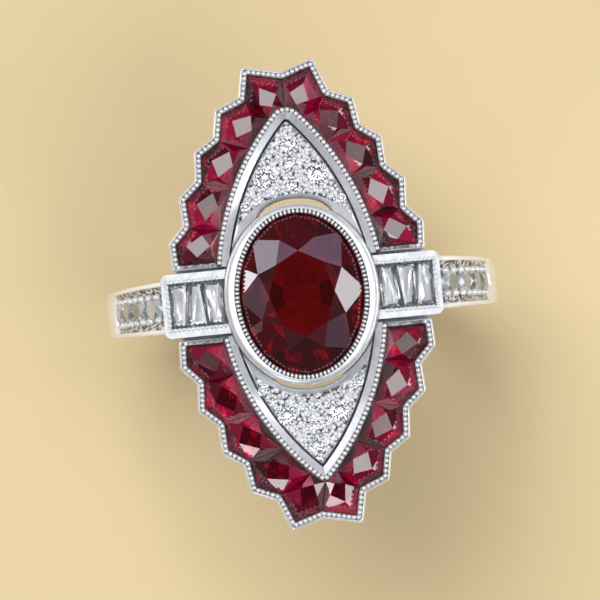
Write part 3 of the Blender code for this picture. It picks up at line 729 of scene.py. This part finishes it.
def add_drill(bm, placing, stone_radius):
    """Cylinder that drills a stone's seat, a ledge smaller than the stone."""
    radius = stone_radius - SEAT_LEDGE
    bmesh.ops.create_cone(bm, cap_ends=True, segments=24, radius1=radius, radius2=radius,
                          depth=2 * SEAT_DEPTH, matrix=placing)


def cut_for_bezel(obj):
    """Hollows a piece where the oval bezel stands."""
    outline = ellipse(BEZEL_HALF[0] + GAP, BEZEL_HALF[1] + GAP, BEZEL_CUT_STEPS)
    apply_cut(obj, outline_prism([outline], *BEZEL_CUT_HEIGHTS))


def apply_cut(obj, bm):
    """Cuts a piece with a closed mesh in millimetres, and keeps only the result."""
    metres(bm)
    mesh = mesh_of(bm, "cut")
    cutter = bpy.data.objects.new("cut", mesh)
    add_to_scene(cutter)
    modifier = obj.modifiers.new("cut", "BOOLEAN")
    modifier.operation = "DIFFERENCE"
    modifier.object = cutter
    modifier.solver = "EXACT"
    result = modified_mesh(obj)
    obj.modifiers.clear()
    obj.data = result
    bpy.data.objects.remove(cutter, do_unlink=True)
    bpy.data.meshes.remove(mesh)


def make_navette_frames():
    """Pointed walls: a beaded ledge outside, a raised line, and a bright-cut slope inside."""
    ledge = NAVETTE_TOP_Z - 0.07
    section = [(0.0, HEAD_FLOOR_Z), (0.0, ledge - 0.03), (0.02, ledge), (0.22, ledge),
               (0.24, ledge + 0.02), (0.26, NAVETTE_TOP_Z - 0.03), (0.29, NAVETTE_TOP_Z - 0.05),
               (0.57, NAVETTE_TOP_Z - 0.22), (0.595, PLATE_TOP_Z - 0.12),
               (NAVETTE_WALL, PLATE_TOP_Z - 0.16), (NAVETTE_WALL, HEAD_FLOOR_Z)]
    for end, sign in ENDS:
        rings = [[(x, y * sign, z) for x, y in navette_path(inset, end)] for inset, z in section]
        bm = bmesh.new()
        # The ledge under the beads, the foot of the inner slope and the inner wall take the painted
        # shade
        add_loft(bm, rings, painted_shade_rows=(2, 8, 9))
        wall = finish_piece("navette_" + end, bm, [POLISHED, RECESS_PAINTED_SHADE], ["navette_frame_" + end])
        cut_for_bezel(wall)
        bm = bmesh.new()
        line = navette_path(NAVETTE_BEAD_INSET, end, NAVETTE_BEAD_FEET)
        for spot in evenly(line, BEAD_PITCH):
            add_bead(bm, (spot.x, spot.y * sign, ledge + 0.04), BEAD_RADIUS)
        finish_piece("navette_milgrain_" + end, bm, [BEADED])


def plate_spots(end, seed):
    """Centres and radii of a plate's raised grains: prongs round its stones, then the rest."""
    source = random.Random(seed)
    field = plate_path(end, 0.17, field_arc_point, 0.3)
    spots = []
    for x, y, radius in PLATE_STONES:
        count = 6 if radius > 0.35 else 4
        turn = source.uniform(0, 1.5)
        for i in range(count):
            angle = turn + 2 * math.pi * i / count
            reach = radius + 0.02
            spot = (x + reach * math.cos(angle), y + reach * math.sin(angle))
            if inside(spot, field):
                spots.append((*spot, PRONG_RADIUS))
    for size, tries in GRAIN_TRIES:
        for _ in range(tries):
            spot = (source.uniform(-3.4, 3.4), source.uniform(3.2, 9.2))
            if not inside(spot, field):
                continue
            on_stone = any(math.dist(spot, (x, y)) < radius + size * 0.5
                           for x, y, radius in PLATE_STONES)
            on_grain = any(math.dist(spot, (x, y)) < size + radius - 0.01
                           for x, y, radius in spots)
            if not on_stone and not on_grain:
                spots.append((*spot, size))
    return spots


def make_pave_plates():
    """Plates with a bright-cut border round a sunken field that is filled with grains."""
    profile = [(plate_arc_point, 0.0, 0.0, PLATE_BOTTOM_Z),
               (plate_arc_point, 0.0, 0.0, PLATE_TOP_Z - 0.2),
               (plate_arc_point, 0.01, 0.03, PLATE_TOP_Z - 0.14),
               (field_arc_point, 0.08, 0.14, PLATE_TOP_Z),
               (field_arc_point, 0.1, 0.19, PLATE_TOP_Z - 0.12)]
    for seed, (end, sign) in enumerate(ENDS, 11):
        bm = bmesh.new()
        rows = []
        for arc_line, inset, arc_inset, z in profile:
            outline = plate_path(end, inset, arc_line, arc_inset)
            rows.append([bm.verts.new((x, y * sign, z)) for x, y in outline])
        for row, following in zip(rows, rows[1:]):
            for i in range(len(row)):
                j = (i + 1) % len(row)
                bm.faces.new((row[i], row[j], following[j], following[i]))
        bm.faces.new(rows[0])
        bm.faces.new(rows[-1]).material_index = 1
        plate = finish_piece("plate_" + end, bm, [POLISHED, SET_PLATE], ["pave_plate_" + end])
        seats = bmesh.new()
        for x, y, radius in PLATE_STONES:
            add_drill(seats, Matrix.Translation((x, y * sign, PLATE_TOP_Z)), radius)
        apply_cut(plate, seats)
        bm = bmesh.new()
        for x, y, radius in plate_spots(end, seed):
            add_bead(bm, (x, y * sign, PLATE_TOP_Z - 0.08), radius, 1.3)
        finish_piece("plate_grains_" + end, bm, [BEADED])


def make_bezel():
    """Oval bezel from the outside over its lip to the inside, with a ring of beads."""
    half_x, half_y = BEZEL_HALF
    section = [(-0.18, -0.15, HEAD_FLOOR_Z), (-0.04, -0.03, 11.6), (0.0, 0.0, 12.1),
               (-0.01, -0.01, 12.36), (-0.03, -0.02, 12.46), (-0.07, -0.05, 12.53),
               (-0.12, -0.08, 12.565), (-0.22, -0.14, 12.595), (-0.34, -0.2, 12.62),
               (-0.48, -0.27, 12.64), (-0.52, -0.3, 12.62), (-0.54, -0.32, 12.56),
               (-0.77, -0.49, 12.56), (-0.79, -0.51, 12.48), (-0.68, -0.38, 12.42),
               (-0.68, -0.38, 12.18), (-1.0, -0.7, 11.83), (-1.15, -0.9, HEAD_FLOOR_Z)]
    rings = [ellipse(half_x + dx, half_y + dy, BEZEL_STEPS, z) for dx, dy, z in section]
    bm = bmesh.new()
    # The groove under the beads and the step inside it take the painted shade
    add_loft(bm, rings, True, range(10, 14))
    finish_piece("bezel", bm, [POLISHED, RECESS_PAINTED_SHADE], ["centre_bezel"])
    bm = bmesh.new()
    for spot in evenly(ellipse(*BEZEL_BEAD_HALF, BEZEL_STEPS), BEZEL_BEAD_PITCH, True):
        radial = Matrix.Rotation(math.atan2(spot.y, spot.x), 4, "Z")
        shape = radial @ Matrix.Diagonal((1.6, 1.0, 1.0, 1.0))
        add_bead(bm, (spot.x, spot.y, BEZEL_BEAD_Z), BEZEL_BEAD_RADIUS, 1.3, shape)
    finish_piece("bezel_milgrain", bm, [BEADED])


def dress_gallery():
    """The pierced plate under the head keeps its CAD shape and takes the shank's material."""
    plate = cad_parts["gallery_plate"]
    plate.data.materials.clear()
    plate.data.materials.append(BAND)


# -------- baguette boxes


def box_frame(sign):
    """Frame of one box's top: origin above the inner end of the pocket, +X outwards."""
    tilt = Matrix.Rotation(BOX_SLOPE, 4, "Y")
    place = Matrix.Translation((POCKET_START_X, 0.0, BOX_INNER_TOP_Z))
    turn = Matrix.Identity(4) if sign > 0 else Matrix.Rotation(math.pi, 4, "Z")
    return turn @ place @ tilt


def block(low, high, placing):
    """Cutting block between two corners, in the placing's frame."""
    bm = bmesh.new()
    size = Vector(high) - Vector(low)
    centre = (Vector(high) + Vector(low)) / 2
    shape = placing @ Matrix.Translation(centre) @ Matrix.Diagonal((*size, 1.0))
    bmesh.ops.create_cube(bm, size=1.0, matrix=shape)
    return bm


def make_boxes():
    """Channel boxes: sloping top, pocket for the baguettes, and beads on three sides."""
    corners = [(BOX_START_X, -BOX_HALF_WIDTH), (BOX_END_X, -BOX_HALF_WIDTH),
               (BOX_END_X, BOX_HALF_WIDTH), (BOX_START_X, BOX_HALF_WIDTH)]
    path = rounded_path(corners, [BOX_CORNER_RADIUS] * 2, 8)
    for side, sign in SIDES:
        bm = outline_prism([[(p.x * sign, p.y) for p in path]], HEAD_FLOOR_Z, 12.5)
        box = finish_piece("box_" + side, bm, [BOXED], ["baguette_box_" + side])
        placing = box_frame(sign)
        cut_for_bezel(box)
        apply_cut(box, block((-3, -3, 0), (6, 3, 3), placing))
        apply_cut(box, block((-2, -POCKET_HALF_WIDTH, -POCKET_DEPTH),
                             (POCKET_LENGTH, POCKET_HALF_WIDTH, 1), placing))
        edge = box.modifiers.new("edges", "BEVEL")
        edge.width = BOX_EDGE_BEVEL * MM
        edge.segments = 3
        edge.limit_method = "ANGLE"
        edge.angle_limit = math.radians(40)
        bm = bmesh.new()
        far = POCKET_LENGTH + BOX_BEAD_REACH
        half = POCKET_HALF_WIDTH + BOX_BEAD_REACH
        run = [(0.0, half), (far, half), (far, -half), (0.0, -half)]
        for a, b in zip(run, run[1:]):
            for spot in evenly([a, b], BOX_BEAD_PITCH)[:-1]:
                centre = placing @ Vector((spot.x, spot.y, 0.02))
                add_bead(bm, centre, BOX_BEAD_RADIUS)
        finish_piece("box_milgrain_" + side, bm, [BEADED])


# -------- stones

# Painted light and shade of the stones: each facet takes one of these lighter and darker copies of
# its stone's colour, standing in for the light and shade that facets catch; the reds of the rubies
# are their own colour, the greys on the diamonds are painted
RUBY_PAINTED_FACET_LIGHTS = [(0.42, 0.0, 0.004), (0.65, 0.001, 0.02), (0.4, 0.0, 0.012)]
CALIBRE_PAINTED_FACET_LIGHTS = [(0.09, 0.0, 0.010), (0.18, 0.0, 0.022), (0.28, 0.0, 0.035), (0.42, 0.001, 0.05),
                 (0.68, 0.003, 0.08)]
DIAMOND_PAINTED_FACET_LIGHTS = [(0.98, 0.99, 1.0), (0.78, 0.82, 0.88), (0.92, 0.92, 0.92), (0.62, 0.65, 0.7)]
SHOULDER_PAINTED_FACET_LIGHTS = [(1.0, 1.0, 1.0), (0.66, 0.71, 0.69), (0.92, 0.95, 0.95), (0.42, 0.46, 0.44)]

CUT_SIDES = 16
HALF_STEP_COSINE = math.cos(2 * math.pi / CUT_SIDES)

# A facet whose normal is more upright than this is a table, and takes the first painted facet light
TABLE_STEEPNESS = 0.97

# Outward tilt of the calibre tables, from the box (5) to the tip (1)
TABLE_TILTS = {("back", "left"): (0.15, 0.09, 0.13, 0.14, 0.12),
               ("back", "right"): (0.1, 0.12, 0.08, 0.07, 0.13),
               ("front", "left"): (0.08, 0.07, 0.06, 0.02, 0.05),
               ("front", "right"): (0.09, 0.16, 0.1, 0.12, 0.06)}

# Centre stone: table and crown break as shares of the girdle, girdle height, and its pavilion's
# steps, each a share of the girdle and a depth below it
RUBY_TABLE = 0.52
RUBY_WAIST = 0.72
RUBY_GIRDLE = 0.14
RUBY_STEPS = ((0.86, 0.75), (0.6, 1.65), (0.3, 2.3))
RUBY_KEEL_DEPTH = 2.6
RUBY_KEEL_HALF = 0.5

# Round brilliants: table and crown break as shares of the radius, and the pavilion's
ROUND_TABLE = 0.56
ROUND_WAIST = 0.78
ROUND_CROWN = 0.32
ROUND_GIRDLE = 0.05
ROUND_DEPTH = 0.84
ROUND_LOWER = 0.25
MOST_SPIN = 0.8
MOST_TILT = 0.06

# Baguettes, from the box's top: inset and height of each step, how much the ends differ, heights
# of the girdle, and the keel's share of the width and its height
BAGUETTE_STEPS = ((0.1, -0.17), (0.22, -0.12), (0.13, -0.65), (0.28, -0.95))
BAGUETTE_TAPER = 0.12
BAGUETTE_GIRDLE = (-0.36, -0.3)
BAGUETTE_KEEL = (0.6, -1.2)


def place_stone(name, bm, material, painted_facet_lights, source, placing=None):
    """Makes a cut stone and gives each facet one tone of painted light and shade."""
    if placing is not None:
        bmesh.ops.transform(bm, matrix=placing, verts=bm.verts)
    obj = finish_piece(name + "_stone", bm, [material], [name], 0)
    # Painted light and shade per facet; the tables all take the first tone
    layer = obj.data.attributes.new("painted_facet_light", "FLOAT_COLOR", "FACE")
    for value, face in zip(layer.data, obj.data.polygons):
        tint = source.choice(painted_facet_lights)
        value.color = (*(painted_facet_lights[0] if face.normal.z > TABLE_STEEPNESS else tint), 1.0)
    return obj


def crown_points(half_x, half_y, table, waist, crown, girdle):
    """Brilliant crown over a thin girdle whose top is at z = 0."""
    slope = crown / (1 - table)
    points = []
    for i, (c, s) in enumerate(ellipse(1, 1, CUT_SIDES)):
        points += [(half_x * c, half_y * s, 0.0), (half_x * c, half_y * s, -girdle)]
        if i % 2:
            height = slope * (1 - waist * HALF_STEP_COSINE)
            points.append((half_x * waist * c, half_y * waist * s, height))
        else:
            points.append((half_x * table * c, half_y * table * s, crown))
    return points


def make_centre_ruby():
    """Mixed cut: brilliant crown over a stepped pavilion."""
    half_x, half_y = RUBY_HALF
    points = crown_points(half_x, half_y, RUBY_TABLE, RUBY_WAIST, RUBY_TABLE_Z - RUBY_GIRDLE_Z,
                          RUBY_GIRDLE)
    for share, depth in RUBY_STEPS:
        points += ellipse(half_x * share, half_y * share, CUT_SIDES, -depth)
    points += [(0.0, y, -RUBY_KEEL_DEPTH) for y in (RUBY_KEEL_HALF, -RUBY_KEEL_HALF)]
    place_stone("centre_ruby", hull(points), RUBY, RUBY_PAINTED_FACET_LIGHTS, random.Random(3),
                Matrix.Translation((0, 0, RUBY_GIRDLE_Z)))


def round_points(radius):
    """Round brilliant, girdle top at z = 0."""
    points = crown_points(radius, radius, ROUND_TABLE, ROUND_WAIST, radius * ROUND_CROWN,
                          radius * ROUND_GIRDLE)
    depth = radius * ROUND_DEPTH
    fall = depth * (1 - ROUND_LOWER * HALF_STEP_COSINE)
    points += ellipse(radius * ROUND_LOWER, radius * ROUND_LOWER, CUT_SIDES, -fall)[1::2]
    return [*points, (0.0, 0.0, -depth)]


def make_round_diamonds():
    """Round brilliants of the shoulders and the plates, each turned its own way."""
    source = random.Random(5)
    for side, sign in SIDES:
        for number, placing in enumerate(shoulder_frames(sign), 1):
            lift = Matrix.Translation((0, 0, SHOULDER_STONE_RADIUS * 0.04 + GAP))
            spin = Matrix.Rotation(source.uniform(0, MOST_SPIN), 4, "Z")
            place_stone("shoulder_diamond_%s_%d" % (side, number),
                        hull(round_points(SHOULDER_STONE_RADIUS)), SHOULDER_DIAMOND,
                        SHOULDER_PAINTED_FACET_LIGHTS, source, placing @ lift @ spin)
    for end, sign in ENDS:
        for number, (x, y, radius) in enumerate(PLATE_STONES, 1):
            spin = Matrix.Rotation(source.uniform(0, MOST_SPIN), 4, "Z")
            tilt = Matrix.Rotation(source.uniform(-MOST_TILT, MOST_TILT), 4, "X")
            placing = Matrix.Translation((x, y * sign, PLATE_TOP_Z + GAP)) @ tilt @ spin
            place_stone("plate_diamond_%s_%d" % (end, number), hull(round_points(radius)),
                        DIAMOND, DIAMOND_PAINTED_FACET_LIGHTS, source, placing)


def calibre_outlines(end, side):
    """Plan outlines of a row from the box (5) to the tip (1), drawn for the right back."""
    side_sign = dict(SIDES)[side]
    inner = rim_corners(RIM_WIDTH + GAP, end)
    if side == "left":
        inner = [Vector((-p.x, p.y)) for p in reversed(inner)]
    feet = []
    for y in CALIBRE_FOOT_Y:
        feet.append(Vector((side_sign * leg_x(end, side_sign, -CALIBRE_CLEARANCE, y), y)))
    tip, tip_y, _ = navette_tip(end, -CALIBRE_CLEARANCE)
    apex_x = GAP / 2 + side_sign * lean_at(end, tip_y + tip)
    feet.append(Vector((apex_x, tip_y + tip)))
    notches = [inner[1], *inner[3:13:2]]
    peaks = inner[2:12:2]
    notches[-1] = Vector((GAP / 2, notches[-1].y))
    return [[feet[i], notches[i], peaks[i], notches[i + 1], feet[i + 1]] for i in range(5)]


def shrink(outline, distance):
    """Closed counter-clockwise outline moved inwards."""
    corners = [outline[-1], *outline, outline[0]]
    return offset_corners(corners, [distance] * (len(corners) - 1))[1:-1]


def calibre_points(outline, tilt):
    """French-cut stone on a plan outline: its table is a square turned half a step.

    The table leans outwards by the tilt.
    """
    centre = sum(outline, Vector((0.0, 0.0))) / len(outline)
    low, side_a, peak, side_b, high = outline
    sides = [(low + side_a) / 2, (side_a + peak) / 2, (peak + side_b) / 2, (side_b + high) / 2,
             (high + low) / 2]
    girdle = (CALIBRE_GIRDLE_Z - CALIBRE_GIRDLE, CALIBRE_GIRDLE_Z)
    points = [(*p, z) for p in outline for z in girdle]
    outward = (sides[1] + sides[2]) / 2
    lean = -tilt * (peak - (low + high) / 2).normalized()
    for p in (sides[0], outward, sides[3], sides[4]):
        corner = (p - centre) * CALIBRE_TABLE_SHARE
        points.append((*(centre + corner), CALIBRE_TABLE_Z - CALIBRE_TABLE_DROP + lean.dot(corner)))
    for p in sides:
        step = centre + (p - centre) * CALIBRE_KEEL_SHARE
        points.append((*step, CALIBRE_KEEL_Z + CALIBRE_KEEL_RISE))
    points.append((*centre, CALIBRE_KEEL_Z))
    return points


def make_calibre_rubies():
    """Twenty tapered stones, five to a quarter."""
    source = random.Random(21)
    for end, end_sign in ENDS:
        for side, side_sign in SIDES:
            tilts = TABLE_TILTS[end, side]
            for row, (outline, tilt) in enumerate(zip(calibre_outlines(end, side), tilts)):
                points = [(x * side_sign, y * end_sign, z)
                          for x, y, z in calibre_points(shrink(outline, GAP / 2), tilt)]
                name = "calibre_ruby_%s_%s_%d" % (end, side, 5 - row)
                place_stone(name, hull(points), CALIBRE, CALIBRE_PAINTED_FACET_LIGHTS, source)


def make_baguettes():
    """Three tapered step-cut stones to a box; the middle one tapers the other way."""
    source = random.Random(8)
    length = POCKET_LENGTH - 2 * GAP
    half = POCKET_HALF_WIDTH - GAP
    joints = [GAP + 0.04 + length * i / 3 for i in range(4)]
    for side, sign in SIDES:
        for number in range(3):
            lean_in = 0.0 if number == 0 else BAGUETTE_TAPER * (1 if number == 1 else -1)
            lean_out = 0.0 if number == 2 else BAGUETTE_TAPER * (1 if number == 0 else -1)
            inner, outer = joints[number] + GAP / 2, joints[number + 1] - GAP / 2
            edge = [Vector((inner + lean_in, -half)), Vector((outer + lean_out, -half)),
                    Vector((outer - lean_out, half)), Vector((inner - lean_in, half))]
            points = [(p.x, p.y, z) for p in edge for z in BAGUETTE_GIRDLE]
            for inset, z in BAGUETTE_STEPS:
                points += [(p.x, p.y, z) for p in shrink(edge, inset)]
            middle = (inner + outer) / 2
            keel, keel_z = BAGUETTE_KEEL
            points += [(middle, -half * keel, keel_z), (middle, half * keel, keel_z)]
            name = "baguette_diamond_%s_%d" % (side, number + 1)
            place_stone(name, hull(points), BAGUETTE, DIAMOND_PAINTED_FACET_LIGHTS, source,
                        box_frame(sign))


# -------- studio


FLOOR_HALF = 1.5
FLOOR_TINTS = ((0.53, 0.425, 0.245), (0.56, 0.45, 0.265))


def make_floor():
    """Plain pale paper under the ring."""
    bm = bmesh.new()
    bmesh.ops.create_grid(bm, x_segments=1, y_segments=1, size=FLOOR_HALF)
    bmesh.ops.translate(bm, verts=bm.verts, vec=(0, 0, FLOOR_Z * MM))
    mesh = mesh_of(bm, "floor")
    material, tree, shader = new_material("floor_paper")
    tint = ramp(tree, noise(tree, 60.0), [(0.3, FLOOR_TINTS[0]), (0.7, FLOOR_TINTS[1])])
    tree.links.new(tint, shader.inputs["Base Color"])
    shader.inputs["Roughness"].default_value = 0.9
    mesh.materials.append(material)
    floor = bpy.data.objects.new("floor", mesh)
    add_to_scene(floor)


# Dome: radiance by the sine of the height, as shares of its strength
DOME_STRENGTH = 5.0
BACKDROP = (0.86, 0.84, 0.8, 1.0)
DOME = [(0.0, (0.01, 0.009, 0.008)), (0.6, (0.009, 0.009, 0.011)), (0.89, (0.02, 0.02, 0.022)),
        (0.915, (0.44, 0.45, 0.46)), (0.972, (0.56, 0.57, 0.58)), (0.986, (0.004, 0.004, 0.004))]


LIGHT_CENTRE_Z = 11.0
COOL = (0.93, 0.96, 1.0)
LILAC = (0.92, 0.88, 1.0)
MAUVE = (0.9, 0.78, 1.0)
VIOLET = (0.85, 0.68, 1.0)
DAYLIGHT = (1.0, 0.99, 0.97)

# Name, azimuth and elevation in degrees, width and height in metres, radiance and colour
SOFTBOXES = [("right_box", 0, 31, 0.24, 0.07, 3.2, COOL),
             ("left_box", 163, 12, 0.06, 0.08, 4.5, COOL),
             ("upper_left_box", 143, 32, 0.08, 0.07, 1.7, LILAC),
             ("left_fill", 190, 28, 0.14, 0.08, 0.3, MAUVE),
             ("back_right_box", 37, 36, 0.1, 0.08, 0.6, VIOLET),
             ("front_right_box", -37, 36, 0.1, 0.08, 0.25, MAUVE),
             ("back_star_box", 90, 56, 0.17, 0.05, 0.55, VIOLET),
             ("front_left_box", -112, 41.5, 0.08, 0.045, 3.6, COOL)]
SOFTBOX_DISTANCE = 0.26
# The main lights stand further off and aren't seen in reflections
KEY_LIGHTS = [("key", 115, 62, 0.57, 0.57, 7.8, DAYLIGHT),
              ("second_key", -45, 60, 0.5, 0.5, 4.5, DAYLIGHT)]
KEY_DISTANCE = 1.0


def softbox(name, azimuth, elevation, width, height, radiance, colour, distance, reflected):
    """Area light on a sphere round the head; azimuth 0 is +X and 90 is +Y."""
    a, e = math.radians(azimuth), math.radians(elevation)
    way = Vector((math.cos(a) * math.cos(e), math.sin(a) * math.cos(e), math.sin(e)))
    light = bpy.data.lights.new(name, "AREA")
    light.shape = "RECTANGLE"
    light.size = width
    light.size_y = height
    light.color = colour
    light.energy = radiance * math.pi * width * height
    obj = bpy.data.objects.new(name, light)
    obj.location = Vector((0, 0, LIGHT_CENTRE_Z * MM)) + way * distance
    obj.rotation_mode = "QUATERNION"
    obj.rotation_quaternion = way.to_track_quat("Z", "Y")
    obj.visible_camera = False
    obj.visible_glossy = reflected
    add_to_scene(obj)


def make_lights():
    for settings in SOFTBOXES:
        softbox(*settings, SOFTBOX_DISTANCE, True)
    for settings in KEY_LIGHTS:
        softbox(*settings, KEY_DISTANCE, False)


def make_world():
    """Soft studio dome: a dark spot overhead, a bright ring round it, dim walls below.

    Behind the floor's edge the camera sees an even pale tone instead.
    """
    world = bpy.data.worlds.new("studio")
    world.use_nodes = True
    tree = world.node_tree
    coords = tree.nodes.new("ShaderNodeTexCoord")
    split = tree.nodes.new("ShaderNodeSeparateXYZ")
    tree.links.new(coords.outputs["Generated"], split.inputs["Vector"])
    shade = tree.nodes["Background"]
    colour = ramp(tree, split.outputs["Z"], DOME)
    tree.links.new(colour, shade.inputs["Color"])
    shade.inputs["Strength"].default_value = DOME_STRENGTH
    plain = tree.nodes.new("ShaderNodeBackground")
    plain.inputs["Color"].default_value = BACKDROP
    path = tree.nodes.new("ShaderNodeLightPath")
    mix = tree.nodes.new("ShaderNodeMixShader")
    tree.links.new(path.outputs["Is Camera Ray"], mix.inputs["Fac"])
    tree.links.new(shade.outputs["Background"], mix.inputs[1])
    tree.links.new(plain.outputs["Background"], mix.inputs[2])
    tree.links.new(mix.outputs["Shader"], tree.nodes["World Output"].inputs["Surface"])
    bpy.context.scene.world = world


CAMERA_TILT = math.radians(1.5)
CAMERA_ROLL = math.radians(5.4)
CAMERA_DISTANCE = 0.3
CAMERA_AIM_Z = 11.3
CAMERA_AIM_OFFSET = (0.1, 0.275)


def make_camera():
    """Straight down on the head, a little towards the front, turned as the ring lies."""
    tilt, roll = CAMERA_TILT, CAMERA_ROLL
    across = Vector((1, 0, 0))
    up = Vector((0, math.cos(tilt), math.sin(tilt)))
    back = Vector((0, -math.sin(tilt), math.cos(tilt)))
    right = across * math.cos(roll) - up * math.sin(roll)
    above = across * math.sin(roll) + up * math.cos(roll)
    data = bpy.data.cameras.new("camera")
    data.sensor_width = 36.0
    data.lens = 360.0
    data.clip_start = 0.01
    data.clip_end = 10.0
    camera = bpy.data.objects.new("camera", data)
    aim = Vector((0, 0, CAMERA_AIM_Z * MM))
    aim -= right * CAMERA_AIM_OFFSET[0] * MM + above * CAMERA_AIM_OFFSET[1] * MM
    pose = Matrix((right, above, back)).transposed().to_4x4()
    camera.matrix_world = Matrix.Translation(aim + back * CAMERA_DISTANCE) @ pose
    add_to_scene(camera)
    bpy.context.scene.camera = camera


def set_light_paths():
    """Enough bounces for light to cross a stone and come back out."""
    scene = bpy.context.scene
    scene.view_settings.view_transform = "Standard"
    scene.cycles.max_bounces = 24
    scene.cycles.glossy_bounces = 20
    scene.cycles.transmission_bounces = 24


make_camera()
make_shank()
dress_gallery()
make_rims()
make_navette_frames()
make_pave_plates()
make_bezel()
make_boxes()
make_centre_ruby()
make_calibre_rubies()
make_baguettes()
make_round_diamonds()
make_floor()
make_lights()
make_world()
set_light_paths()
